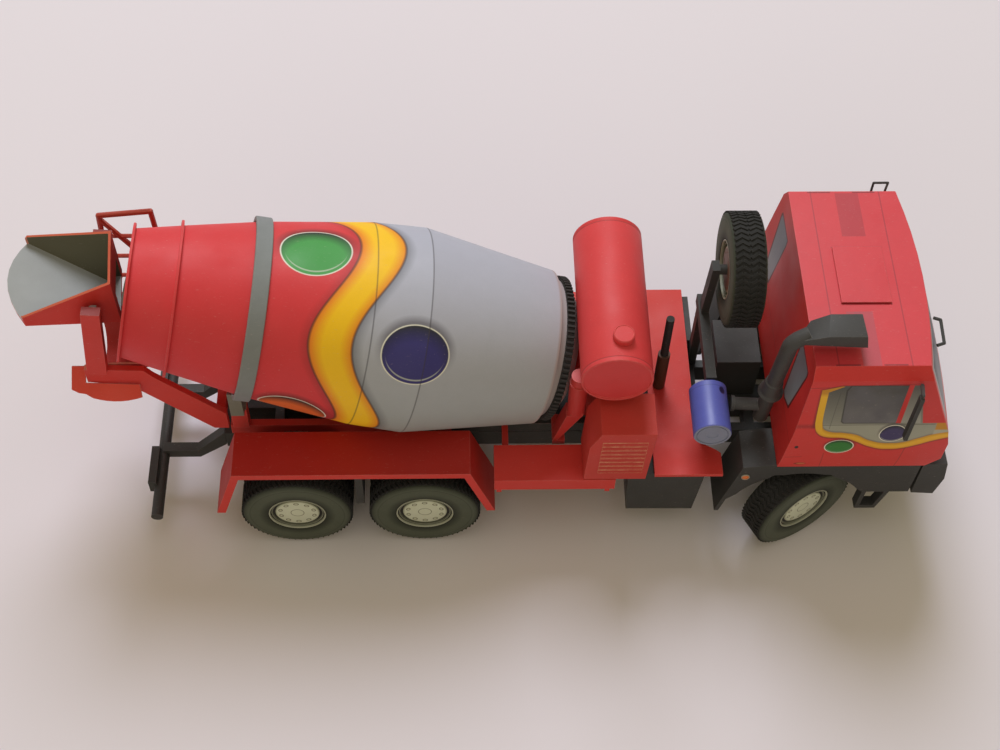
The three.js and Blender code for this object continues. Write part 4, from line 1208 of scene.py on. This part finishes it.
# %% Print the side of the cab
def curve_of(w, value, points):
    """A smooth curve through (value, result) points, in millimetres."""
    low, high = points[0][0], points[-1][0]
    bottom, top = min(p[1] for p in points), max(p[1] for p in points)
    node = w.node("ShaderNodeFloatCurve", {"Value": w.ramp(value, low, high)})
    marks = node.mapping.curves[0].points
    marks[0].location = (0, (points[0][1] - bottom) / (top - bottom))
    marks[1].location = (1, (points[-1][1] - bottom) / (top - bottom))
    for u, v in points[1:-1]:
        marks.new((u - low) / (high - low), (v - bottom) / (top - bottom))
    node.mapping.update()
    return w.ramp(node.outputs[0], 0.0, 1.0, bottom, top)


WAVE_LOW = [(158.6, 84), (158.75, 75), (159.1, 69.5), (160.4, 66), (163, 63.9), (168.9, 63.1), (172.5, 61.4),
            (177.6, 58.2), (182.3, 56.6), (186.7, 56.8), (191.8, 58.7), (196.1, 61.1), (202, 63.6)]
WAVE_HIGH = [(160.7, 84), (160.9, 74), (161.3, 70), (162.1, 67.8), (164.4, 66.6), (168.2, 66.2),
             (172.2, 65.1), (176.8, 61.9), (182.1, 60.1), (186.9, 60.4), (191.3, 62.6), (196.1, 65.2),
             (202, 66.6)]
SEAMS = [((164.4, 54.6), (164.7, 45.3)), ((155.0, 86.1), (153.4, 67.4)), ((155, 86.1), (187.4, 87.9)),
         ((189.3, 63), (188.2, 45.3)), ((152.8, 52.2), (158, 52.4))]
PANE = [(167.5, 70.8), (183.4, 70.6), (184.2, 86.9), (167.2, 86.9), (166.3, 85), (166.9, 71.6)]
PANE_FRAME = [(167.3, 70.4), (183.8, 70.3), (184.3, 87.2), (166.8, 87.2), (165.8, 85.2), (166.5, 71.2)]
SMALL_PANE = [(184.7, 70.6), (190.7, 70.4), (187.8, 87.1), (184.9, 87.1)]
WINDOW_POST = [(183.2, 70.4), (184.7, 70.4), (185.5, 87.3), (184.0, 87.3)]
FRONT_POST = [(191.4, 70.4), (201, 70.4), (196, 90), (187.9, 87.4)]
SMALL_DOTS = [((155.4, 58.1), (0.6, 0.75), "1c0c0a"), ((158.2, 47.8), (1.9, 0.75), "8a2414"),
              ((158.5, 47.8), (1.4, 0.5), "c96a3a")]


def bead(w, under, u, v, centre, half, fill, rim=0.07):
    """One ringed spot on a flat side."""
    return w.group(ringed_spot, {
        "Along": w.sub(u, centre[0]), "Up": w.sub(v, centre[1]), "Half length": half[0],
        "Half height": half[1], "Rim": rim, "Under": under, "Fill": ink(fill)})["Ink"]


print("wave points:", len(WAVE_LOW), "and", len(WAVE_HIGH), "seams:", len(SEAMS))

# %% [markdown]
# ## The wave and the silver field
# How far a point lies over each edge of the wave gives every tone in it: the dark halo
# outside, the orange along the edges and the yellow between them. The silver field
# fills what is over the wave, up to the window's top line and back to the door.

# %% Draw the wave
def wave_parts(w, x, z):
    """How far a point is over the wave's lower edge, over its upper edge, and under its top."""
    over = w.sub(z, curve_of(w, x, WAVE_LOW))
    within = w.sub(z, curve_of(w, x, WAVE_HIGH))
    top_line = w.sub(w.add(85.4, w.ramp(x, 159.0, 164.5, 0.0, 1.6)), z)
    return over, within, top_line


def print_wave(w, marked, x, z, over, within, top_line):
    """The wave's dark halo, and the wave, which turns orange near its edge."""
    dark = w.ramp(w.math("MAXIMUM", w.mul(over, -1.0), 0.0), 0.0, 0.9, 0.75, 0.0)
    dark = w.both(dark, w.ramp(top_line, -0.7, 0.0))
    rear_dark = w.both(w.ramp(x, 157.9, 158.7), w.line(z, 77.0, 8.2, 9.2))
    halo = w.either(w.both(dark, w.ramp(x, 158.4, 159.5)), w.both(rear_dark, 0.7))
    marked = w.mix(halo, marked, ink("4a1a10"))
    yellow = w.mix(w.ramp(w.sub(0.0, within), 0.0, 1.6), ink("c98a14"), ink("edb41c"))
    yellow = w.mix(w.ramp(over, 0.0, 1.0, 0.8, 0.0), yellow, ink("d0780f"))
    below_top = w.ramp(top_line, -0.1, 0.1)
    outer = w.both(w.both(w.ramp(over, -0.12, 0.12), below_top), w.ramp(x, 158.5, 158.8))
    return w.mix(w.both(outer, below_top), marked, yellow)


def print_silver(w, marked, x, z, within, top_line):
    """The silver field inside the wave, with a paler strip and two fine lines."""
    above_wave = w.ramp(within, -0.12, 0.12)
    below_top = w.ramp(w.sub(top_line, w.ramp(x, 161.0, 166.0, 1.5, 0.1)), -0.1, 0.1)
    inner = w.both(w.both(above_wave, below_top), w.ramp(x, 160.6, 160.9))
    past_corner = w.both(w.ramp(x, 164.6, 165.2), w.ramp(z, 67.0, 68.0))
    past_corner = w.both(past_corner, w.ramp(w.sub(87.1, z), -0.1, 0.1))
    silver = w.mix(w.ramp(z, 66.0, 86.0), ink("96958a"), ink("4e4d49"))
    silver = w.stamp(silver, w.ramp(z, 69.6, 70.4, 1.0, 0.0), 0.6, "a7a699")
    silver = w.stamp(silver, w.stroke(x, z, (160.9, 69.7), (195.4, 69.8), 0.3), 0.7, "5a5850")
    silver = w.stamp(silver, w.stroke(x, z, (163.6, 68), (164.3, 84), 0.22), 0.5, "3e3c38")
    silver = w.mix(w.ramp(within, 0.0, 0.9, 0.55, 0.0), silver, ink("3a3830"))
    marked = w.mix(w.both(w.either(inner, past_corner), w.ramp(x, 195.9, 195.6)), marked, silver)
    strip = w.both(w.both(above_wave, w.ramp(w.sub(67.3, z), -0.1, 0.1)), w.ramp(x, 195.4, 195.8))
    return w.mix(strip, marked, ink("b0aea2"))


print("wave from", WAVE_LOW[0][0], "to", WAVE_LOW[-1][0], "mm ahead of the rearmost axle")

# %% [markdown]
# ## The side windows
# Each pane is a polygon filled with a grey ramp, because printed glass is a flat tone
# that is darker at the top. The posts are the plain ink, drawn over the panes.

# %% Draw the windows and put the side together
def print_windows(w, marked, x, z, plain):
    """The two panes, the post between them and the slanted post in front."""
    marked = w.mix(w.polygon(x, z, FRONT_POST, 0.1), marked, plain)
    marked = w.stamp(marked, w.polygon(x, z, PANE_FRAME), 0.8, "2c2a28")
    glass = w.mix(w.ramp(z, 70.0, 84.0), ink("77757a"), ink("4f4d4c"))
    on_side = w.node("ShaderNodeCombineXYZ", {0: x, 1: 0.0, 2: z}).outputs[0]
    glass = w.mix(w.ramp(w.noise(on_side, 0.12), 0.35, 0.65), glass, ink("5c5a60"))
    marked = w.mix(w.polygon(x, z, PANE), marked, glass)
    small_glass = w.mix(w.ramp(z, 71, 86), ink("a3a19a"), ink("5d5b56"))
    marked = w.mix(w.polygon(x, z, SMALL_PANE), marked, small_glass)
    return w.mix(w.polygon(x, z, WINDOW_POST), marked, plain)


def side_prints(w, x, y, z, plain):
    marked = plain
    for start, end in SEAMS:
        marked = w.stamp(marked, w.stroke(x, z, start, end, 0.28), 0.5, "6a1a1a")
    # A soft darker band along the fold at z 69.2, behind the wave, is painted shade.
    fold_line_shade = w.both(w.line(z, 69.2, 0.2, 1.3, 0.5), w.ramp(x, 158.8, 158.2))
    marked = w.mix(fold_line_shade, marked, ink("7a1410"))
    over, within, top_line = wave_parts(w, x, z)
    marked = print_wave(w, marked, x, z, over, within, top_line)
    marked = print_silver(w, marked, x, z, within, top_line)
    marked = print_windows(w, marked, x, z, plain)
    marked = bead(w, marked, x, z, (168.4, 58.3), (4.5, 3.8), "2c7a2e")
    marked = bead(w, marked, x, z, (183.4, 65.3), (4.2, 4.3), "3a3060")
    for centre, radii, tone in SMALL_DOTS:
        marked = w.mix(w.disc(x, z, centre, radii, 0.12)[0], marked, ink(tone))
    return marked


CAB_SIDE = card("cab_side_print", "d2302c", prints=side_prints, gloss=0.42, blotch=0.1, wear=0.4)
print("side print nodes:", len(CAB_SIDE.node_tree.nodes))

# %% [markdown]
# ## The cab's roof, front and rear wall
# The roof has two seams across it, thin slots by its edges and three tinted plates.
# The front has a silver framed windscreen, a dark grille and two lamps.
# The rear wall has two blue grey windows with a rounded corner.

# %% List the outlines of the roof, front and rear
ROOF_SEAMS = (162.5, 184.0)
ROOF_PLATES = [(170.1, 177.4, 15.0, 32.2, "9a2c38"), (167.2, 171.4, -24.0, -13.5, "a8505e"),
               (169.6, 175.1, -33.5, -13.5, "a8505e")]
ROOF_SLOTS = [(161.6, 168.8, -32.9), (161.6, 168.8, 32.3), (175.7, 182.7, -32.9), (175.7, 182.7, 32.3)]
HATCH_EDGES = [(166.0, 181.6, -10.9, -10.5), (166.0, 181.6, 10.5, 10.9)]
SCREEN_FRAME = [(-1, 69.8), (36.6, 69.8), (33.2, 91.6), (-1, 91.6)]
SCREEN_PANE = [(0.5, 71.2), (34.6, 71.2), (31.6, 90.2), (0.5, 90.2)]
GRILLE = [(-1, 50.5), (25.5, 50.5), (25.5, 60.5), (-1, 60.5)]
FRONT_LAMP = [(28.0, 51.0), (33.5, 51.0), (33.5, 54.4), (28.0, 54.4)]
REAR_FRAME = [(20.6, 62.0), (23.0, 61.2), (28.6, 63.6), (31.2, 84.6), (30.5, 86.2), (18.8, 86.2),
              (18.4, 84.0)]
REAR_PANE = [(21.2, 62.9), (23.2, 62.2), (27.8, 64.3), (30.4, 84.2), (29.9, 85.6), (19.4, 85.6),
             (19.1, 83.6)]


def oblong(w, u, v, u0, u1, v0, v1, soft=0.12):
    """1 inside an upright rectangle."""
    return w.polygon(u, v, [(u0, v0), (u1, v0), (u1, v1), (u0, v1)], soft)


print("roof plates:", len(ROOF_PLATES), "slots:", len(ROOF_SLOTS))

# %% [markdown]
# ## Three more sheets of the cab
# The roof is drawn from above, and the front and rear from the distance to the middle
# line, so that one list of corners serves both halves. The floor and the inside are
# plain. A rule sorts the shell's faces by the way they point.

# %% Print and fold the cab
def roof_prints(w, x, y, z, plain):
    marked = plain
    for at_x in ROOF_SEAMS:
        marked = w.mix(w.line(x, at_x, 0.1, 0.28, 0.5), marked, ink("7a2430"))
    for x0, x1, y0, y1, tone in ROOF_PLATES:
        marked = w.stamp(marked, oblong(w, x, y, x0, x1, y0, y1), 0.55, tone)
    for x0, x1, y0 in ROOF_SLOTS:
        marked = w.stamp(marked, oblong(w, x, y, x0, x1, y0, y0 + 0.5, 0.08), 0.7, "6a141c")
    for x0, x1, y0, y1 in HATCH_EDGES:
        marked = w.stamp(marked, oblong(w, x, y, x0, x1, y0, y1), 0.5, "7a2430")
    return marked


def front_prints(w, x, y, z, plain):
    side = w.absolute(y)
    marked = w.mix(w.polygon(side, z, SCREEN_FRAME), plain, ink("a3a2a6"))
    glass = w.mix(w.ramp(z, 71, 90), ink("6c6e78"), ink("3d3e44"))
    marked = w.mix(w.polygon(side, z, SCREEN_PANE), marked, glass)
    bars = w.ramp(w.math("SINE", w.mul(z, 4.6)), -0.2, 0.4)
    marked = w.mix(w.polygon(side, z, GRILLE), marked, w.mix(bars, ink("1e1d1c"), ink("4b4945")))
    marked = w.stamp(marked, w.stroke(side, z, (-1, 62.2), (38.5, 62.2), 0.25), 0.6, "6a1a1a")
    return w.mix(w.polygon(side, z, FRONT_LAMP), marked, ink("d98a3a"))


def rear_prints(w, x, y, z, plain):
    side = w.absolute(y)
    marked = w.mix(w.polygon(side, z, REAR_FRAME), plain, ink("5c1512"))
    tone = w.mix(w.ramp(z, 62, 86), ink("8f8f96"), ink("6b6b74"))
    marked = w.mix(w.polygon(side, z, REAR_PANE), marked, tone)
    return w.stamp(marked, w.stroke(side, z, (-1, 60.0), (38, 60.0), 0.25), 0.5, "6a1a1a")


CAB_ROOF = card("cab_roof_print", "d23a44", prints=roof_prints, gloss=0.38, blotch=0.12)
CAB_FRONT = card("cab_front_print", "d2302c", prints=front_prints, gloss=0.4)
CAB_REAR = card("cab_rear_print", "c62c28", prints=rear_prints, gloss=0.5)
CAB_INSIDE = card("cab_inside_card", "c8c0b4", core="e0d8cc", gloss=0.8, wear=0.1)
CAB_SHEETS = [CAB_SIDE, CAB_ROOF, CAB_FRONT, CAB_REAR, CAB_INSIDE]
CAB_MIDDLE = Vector((176, 0, 70))


def cab_rule(middle, normal, width):
    """The number of the sheet in CAB_SHEETS that a face is printed with."""
    if (middle - CAB_MIDDLE).dot(normal) < 0 or normal.z < -0.9:
        return 4
    if abs(normal.y) > MOSTLY:
        return 0
    if normal.z > MOSTLY:
        return 1
    return 2 if normal.x > 0.3 else 3


cab = fold("cab_shell", CAB_SHEETS, "red_card", cab_rule, edge=0, corner=0.35, smooth=14)
fold("roof_hatch", [CAB_ROOF], "red_card", edge=0, corner=0.15)
print("cab faces:", len(cab.data.polygons))

# %% [markdown]
# ## The water tank and the oil pot
# The tank is a rolled tube with a disc glued in each end, and the end seams show as a
# thin line. The list of one end's profile, turned round, is the other end. The filler
# cap is a small turned piece on top. The oil pot is folded like the boxes.

# %% Turn the tank
TANK_RADIUS, TANK_LENGTH = 10.9, 54.4
TANK_END = [(0, 0.5), (10.2, 0.5), (10.35, 0), (10.75, 0), (10.9, 0.2), (10.9, 1.4), (10.86, 1.5),
            (10.9, 1.6)]
CAP = [(0, 9.2), (2.7, 9.2), (2.7, 10.9), (3.3, 11.1), (3.3, 12.7), (3.1, 13.0), (2.9, 13.1), (2.7, 12.9),
       (0, 12.9)]


def tank_prints(w, x, y, z, plain):
    return w.mix(w.line(w.absolute(y), 25.6, 0.1, 0.26, 0.45), plain, ink("6a1a1a"))


TANK_RED = card("tank_red_card", "d43c40", prints=tank_prints)
tank_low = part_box("water_tank")[0] / MM
tank_x, tank_z = tank_low.x + TANK_RADIUS, tank_low.z + TANK_RADIUS
far_end = [(radius, TANK_LENGTH - height) for radius, height in reversed(TANK_END)]
tube = spin([*TANK_END, *far_end], 96)
tube.transform(stand((0, 1, 0), Vector((tank_x, -TANK_LENGTH / 2, tank_z)) * MM))
cap = spin(CAP, 40)
cap.transform(stand((0, 0, 1), Vector((tank_x + 1.5, -19, tank_z)) * MM))
tank = merged("tank", [with_material(tube, TANK_RED), with_material(cap, TANK_RED)])
smooth_faces(tank, 28)
settle(as_piece("water_tank_card", tank), own_body("water_tank"), "red_card", "water_tank")
POT_RED = card("pot_red_card", "c63b3a", gloss=0.45)
fold("oil_pot", [POT_RED], "red_card", edge=0, corner=0.12, smooth=30)
print("tank faces:", len(tank.polygons))

# %% [markdown]
# ## The air filter
# The filter is a can of blue card with a ringed end and a dark round spot printed on
# top. The can and its end are turned lying down, and stand on a small black foot.

# %% Turn the air filter
FILTER_RADIUS, FILTER_FOOT_AT, FILTER_SPOT = 5.9, 12.5, (134.2, -19.4)
CAN = [(5.7, 0), (5.9, 0.3), (5.9, 16.6), (5.5, 16.8), (5.3, 17.1), (0, 17.1)]
CAN_END = [(0, 0.3), (1.8, 0.3), (1.9, 0.05), (4.6, 0.05), (4.7, 0.35), (5.0, 0.35), (5.1, 0.0), (5.7, 0)]


def filter_prints(w, x, y, z, plain):
    spot, _ = w.disc(x, y, FILTER_SPOT, (0.9, 1.3), 0.15)
    marked = w.mix(w.line(y, -18.0, 0.08, 0.2, 0.35), plain, ink("34386a"))
    return w.mix(w.both(spot, w.ramp(z, 57.5, 58.5)), marked, ink("23244a"))


FILTER_BLUE = card("filter_blue_card", "5b63b8", gloss=0.38, core="a0a5cc", blotch=0.14,
                   prints=filter_prints)
FILTER_END = card("filter_end_card", "8186a0", gloss=0.5, core="b0b4cc")
filter_low, filter_high = (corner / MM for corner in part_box("air_filter"))
filter_x, filter_z = (filter_low.x + filter_high.x) / 2, filter_high.z - FILTER_RADIUS
can, end = with_material(spin(CAN, 64), FILTER_BLUE), with_material(spin(CAN_END, 64), FILTER_END)
for part in (can, end):
    part.transform(stand((0, 1, 0), Vector((filter_x, filter_low.y, filter_z)) * MM))
foot = with_material(tapered_block(7, 2.4, filter_z - 4.5 - filter_low.z, 0.95, 0.3), BLACK)
upright = Matrix.Rotation(-math.pi / 2, 4, "Y") @ Matrix.Rotation(math.pi / 2, 4, "X")
foot_place = Vector((filter_x, filter_low.y + FILTER_FOOT_AT, filter_low.z)) * MM
foot.transform(Matrix.Translation(foot_place) @ upright @ Matrix.Scale(MM, 4))
air_filter = merged("filter", [can, end, foot])
smooth_faces(air_filter, 25)
settle(as_piece("air_filter_card", air_filter), own_body("air_filter"), "blue_card", "air_filter")
print("filter faces:", len(air_filter.polygons))

# %% [markdown]
# ## The air intake
# A round stack with a flared collar rises behind the cab, and a flat horn sits on it.
# The stack bends, so it is a tube drawn through points with a radius at each. The
# horn is one sheet folded to ten corners, and its folds get a small round.

# %% Make the air intake
INTAKE = card("intake_black_card", "3b3a38", core="77746e", wear=0.6)
STACK = [((147.4, -22.2, 50), 2.4), ((147.76, -24.1, 66.4), 2.4), ((147.77, -24.13, 66.45), 3.9),
         ((147.77, -24.15, 67.1), 3.95), ((147.79, -24.25, 67.9), 3.3), ((147.9, -24.8, 73.2), 2.75),
         ((147.91, -24.85, 73.6), 2.4), ((148.36, -27.4, 94.2), 2.4), ((148.4, -27.6, 96.0), 2.4),
         ((149.0, -27.5, 97.3), 2.4), ((150.4, -27.2, 98.6), 2.4), ((153.6, -26.4, 100.2), 2.3)]
PIPE = [((137.25, -21.8, 56.6), 2.5), ((138.2, -21.9, 56.6), 2.5), ((138.3, -21.9, 56.6), 2.0),
        ((147.4, -22.6, 56.8), 2.0)]
HORN = [(158, -30, 103.5), (159.6, -21.8, 103.5), (168.8, -21.8, 103.5), (169.2, -30, 103.5),
        (149.2, -28.7, 99.2), (154.6, -21, 99.2), (149.7, -28.8, 98), (155, -21.2, 98), (170.2, -21.7, 98),
        (170.3, -30, 98)]
HORN_SHEETS = [(0, 1, 2, 3), (0, 1, 5, 4), (4, 5, 7, 6), (6, 9, 3, 0, 4), (7, 5, 1, 2, 8), (9, 8, 2, 3),
               (6, 7, 8, 9)]


def tube_mesh(route, sides=24):
    """A closed round tube through (point, radius) pairs, in millimetres from the rearmost axle."""
    points = [at(*point) for point, _ in route]
    turns = [2 * math.pi * k / sides for k in range(sides)]
    shape = bmesh.new()
    rings = []
    for i, point in enumerate(points):
        ahead = (points[min(i + 1, len(points) - 1)] - points[max(i - 1, 0)]).normalized()
        side = ahead.cross(Vector((0, 1, 0.2))).normalized()
        up = side.cross(ahead)
        rings.append([shape.verts.new(point + (side * math.cos(a) + up * math.sin(a)) * route[i][1] * MM)
                      for a in turns])
    skin(shape, rings)
    return mesh_of(shape, "tube")


def folded_horn():
    """The horn's sheets between its ten corners, with rounded folds."""
    shape = bmesh.new()
    corners = [shape.verts.new(at(*p)) for p in HORN]
    for sheet in HORN_SHEETS:
        shape.faces.new([corners[i] for i in sheet])
    bmesh.ops.recalc_face_normals(shape, faces=shape.faces)
    bmesh.ops.bevel(shape, geom=shape.edges[:], offset=0.16 * MM, segments=2, affect="EDGES", profile=0.5)
    return mesh_of(shape, "horn")


intake_meshes = (folded_horn(), tube_mesh(STACK), tube_mesh(PIPE))
intake = merged("intake", [with_material(mesh, INTAKE) for mesh in intake_meshes])
smooth_faces(intake, 32)
settle(as_piece("air_intake_card", intake), own_body("air_intake"), "black_card", "air_intake")
print("intake faces:", len(intake.polygons))

# %% [markdown]
# ## The cooler's louvres
# The cooler is a folded box with eight pressed louvres on its outer side. Each is a
# thin wedge, and the straight row tree repeats it up the side.

# %% Fold the cooler and repeat its louvres
COOLER_RED = card("cooler_red_card", "c2372f", gloss=0.55)
LOUVRE_RED = card("louvre_red_card", "bb3228", gloss=0.5, core="d9a07a", wear=0.95)
fold("cooler_box", [COOLER_RED], "red_card", edge=0, corner=0.3)
cooler_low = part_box("cooler_box")[0] / MM


def louvre(length, rise, depth):
    """A wedge along local X. Its lower edge stands out by depth along local -Y."""
    shape = bmesh.new()
    section = [(0, 0), (-depth, 0.1), (-depth * 0.8, 0.28), (0, rise)]
    rings = [[shape.verts.new((x, y, z)) for y, z in section] for x in (-length / 2, length / 2)]
    skin(shape, rings)
    return mesh_of(shape, "louvre")


LOUVRES = {"Count": 8, "Start": cooler_low + Vector((11.2, 0.02, 4.6)), "Step": (0.07, 0, 2.3),
           "Wander": 0.004, "Seed": 3, "Card": LOUVRE_RED}
louvres = grow(straight_row, "louvres", LOUVRES, louvre(14.0, 1.5, 0.45))
louvres.transform(Matrix.Scale(MM, 4))
smooth_faces(louvres, 20)
settle(as_piece("cooler_louvres", louvres), own_body("cooler_box"), "red_card")
print("louvre faces:", len(louvres.polygons))

# %% [markdown]
# ## Lamps
# Small printed lamps: an orange one with a pale rim on each front wing's rear leg, two
# lamps on each half of the bumper, and tail lamps on the underrun bar's plates. Each is
# a low turned dome inside a rim, and its finish is glossier than plain card.

# %% Make the lamps
def lamp_finish(name, colour, core):
    """Card with a glossy, hardly worn finish."""
    return card(name, colour, core=core, gloss=0.25, wear=0.15, fibre=0.05, blotch=0.2, shine=0.5)


ORANGE_LENS = lamp_finish("lens_orange", "d9702c", "f0b080")
WHITE_LENS = lamp_finish("lens_white", "c9ccd0", "f0f0f0")
RED_LENS = lamp_finish("lens_red", "b3221c", "e08070")
LAMP_RIM = card("lamp_rim", "a39c90", core="d0c8bc", gloss=0.4)
DOME = [(0, 0), (0.86, 0.0), (0.8, 0.3), (0.5, 0.5), (0, 0.55)]
LAMP_RING = [(0.84, 0), (1, 0), (1, 0.3), (0.95, 0.4), (0.87, 0.34), (0.84, 0.2)]
BUMPER_LAMPS = [("head", 29.5, 31.6, 2.9), ("fog", 21.5, 31.4, 2.3)]
TAIL_LAMPS = [(15.5, RED_LENS), (19.0, ORANGE_LENS), (22.5, RED_LENS)]
BUMPER_LEAN, BUMPER_FOLD, BUMPER_FACE = 1.5, 26.6, 9.4
MARKER_AT, TAIL_HEIGHT = (142.8, 38.3), 14.5


def lamp(name, along, start, radius, lens, body):
    """A dome in a rim. Their profiles are shares of the lamp's radius."""
    face = spin([(share * radius, height) for share, height in DOME], 28)
    rim = spin([(share * radius, height) for share, height in LAMP_RING], 28, True)
    mesh = merged(name, [with_material(face, lens), with_material(rim, LAMP_RIM)])
    mesh.transform(stand(along, start))
    smooth_faces(mesh, 35)
    return settle(as_piece(name, mesh), body, "black_card")


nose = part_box("bumper")[1].x / MM - SHIFT
plate_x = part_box("underrun_bar")[0].x + 0.05 * MM
for side_name, side in (("right", -1), ("left", 1)):
    wing_low, wing_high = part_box("front_wing_" + side_name)
    face_y = (wing_low.y if side < 0 else wing_high.y) / MM
    marker_place = at(MARKER_AT[0], face_y, MARKER_AT[1])
    lamp("marker_lamp_" + side_name, (0, side, 0), marker_place, 1.35, ORANGE_LENS, own_body("bumper"))
    for what, y, z, radius in BUMPER_LAMPS:
        face_x = nose - BUMPER_LEAN + BUMPER_LEAN * (z - BUMPER_FOLD) / BUMPER_FACE
        place = at(face_x - 0.28, side * y, z)
        lamp(f"{what}_lamp_{side_name}", (1, 0, -0.16), place, radius, WHITE_LENS, own_body("bumper"))
    for y, lens in TAIL_LAMPS:
        place = Vector((plate_x, side * y * MM, TAIL_HEIGHT * MM))
        lamp(f"tail_lamp_{side_name}_{int(y)}", (-1, 0, 0), place, 1.4, lens, own_body("underrun_bar"))
print("lamps made")

# %% [markdown]
# ## Roller posts
# Each post is a red pedestal with a grey roller block on it. The block begins where the
# post changes colour.

# %% Fold the roller posts
POST_CHANGE = 43.6
for side_name in ("right", "left"):
    fold("roller_post_" + side_name, [RED, GREY], "grey_card", upper(POST_CHANGE), edge=0, corner=0.12)
print("roller posts folded")

# %% [markdown]
# ## The floor
# The truck stands on a plain pale sheet, and the floor's own colour makes the pale
# ground, and not stronger light. Far from the truck the sheet shows one plain colour
# to a ray that looks at it, but it still catches the truck's shadow close by.

# %% Make the floor
def looking_rays(w):
    """1 for a ray that looks at the ground: the camera's own, or one off a gloss or through glass."""
    path = w.node("ShaderNodeLightPath").outputs
    return w.either(path["Is Camera Ray"], w.either(path["Is Glossy Ray"], path["Is Transmission Ray"]))


def plain_floor():
    """A wide pale sheet. Far away its colour is plain, so a low view has no dark horizon."""
    mesh = bpy.data.meshes.new("floor")
    half = 30
    corners = [(sx * half, sy * half, 0) for sx, sy in ((-1, -1), (1, -1), (1, 1), (-1, 1))]
    mesh.from_pydata(corners, [], [(0, 1, 2, 3)])
    floor = as_piece("floor", mesh)
    material = bpy.data.materials.new("pale_floor")
    material.use_nodes = True
    tree = material.node_tree
    shader = tree.nodes["Principled BSDF"]
    w = Inking(tree)
    place = w.node("ShaderNodeTexCoord").outputs["Object"]
    w.put(shader.inputs["Base Color"], w.mix(w.noise(place, 2.0, 2.0), ink("e3dbe8"), ink("e8dfec")))
    shader.inputs["Roughness"].default_value = 0.9
    shader.inputs["Specular IOR Level"].default_value = 0.05
    away = w.vector("LENGTH", place, output="Value")
    seen = w.both(w.ramp(away, 0.35, 1.1), looking_rays(w))
    plain = w.node("ShaderNodeEmission", {"Color": ink("e2d9dd")})
    both = w.node("ShaderNodeMixShader", {0: seen, 1: shader.outputs[0], 2: plain.outputs[0]})
    w.put(tree.nodes["Material Output"].inputs["Surface"], both.outputs[0])
    mesh.materials.append(material)
    floor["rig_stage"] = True
    return floor


plain_floor()
print("floor made")

# %% [markdown]
# ## The light
# A large soft lamp behind and above gives the pale sheen on the top faces and leaves
# the near sides deep. A weak one in front keeps them readable. The room is warm and
# dim, but a ray that looks at it sees the floor's far colour, so there is no horizon.

# %% Hang the lamps
def soft_lamp(name, place, target, size, watts, colour):
    """A round lamp that shines towards a target."""
    light = bpy.data.lights.new(name, "AREA")
    light.shape, light.size, light.energy, light.color = "DISK", size, watts, colour
    lamp_object = bpy.data.objects.new(name, light)
    bpy.context.scene.collection.objects.link(lamp_object)
    lamp_object.location = place
    lamp_object.rotation_mode = "QUATERNION"
    lamp_object.rotation_quaternion = (Vector(target) - Vector(place)).to_track_quat("-Z", "Y")
    return lamp_object


soft_lamp("window", (-0.1, 0.85, 1.3), (0, 0, 0.04), 0.75, 15.8, (0.9, 0.94, 1.0))
soft_lamp("ceiling", (0.1, -0.35, 1.4), (0, 0, 0), 1.3, 2.4, (1.0, 0.98, 0.98))
soft_lamp("front_fill", (-0.3, -1.2, 0.7), (0, 0, 0.05), 0.9, 2.0, (1.0, 0.9, 0.7))
world = bpy.data.worlds.new("room")
bpy.context.scene.world = world
world.use_nodes = True
w = Inking(world.node_tree)
room = world.node_tree.nodes["Background"]
room.inputs["Color"].default_value = (1.0, 0.9, 0.42, 1)
room.inputs["Strength"].default_value = 0.29
seen_room = w.node("ShaderNodeBackground", {"Color": ink("e2d9dd"), "Strength": 1.0})
chosen = w.node("ShaderNodeMixShader", {0: looking_rays(w), 1: room.outputs[0], 2: seen_room.outputs[0]})
w.put(world.node_tree.nodes["World Output"].inputs["Surface"], chosen.outputs[0])
bpy.context.scene.view_settings.view_transform = "Standard"

# %% [markdown]
# ## Close the file
# The finished truck has to fit the CAD's box, so both boxes are printed side by side.

# %% Compare the boxes and finish
new_low, new_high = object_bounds()
for whose, size in (("CAD", cad_high - cad_low), ("finished", new_high - new_low)):
    print(whose, "box in mm:", [round(length / MM, 2) for length in size])
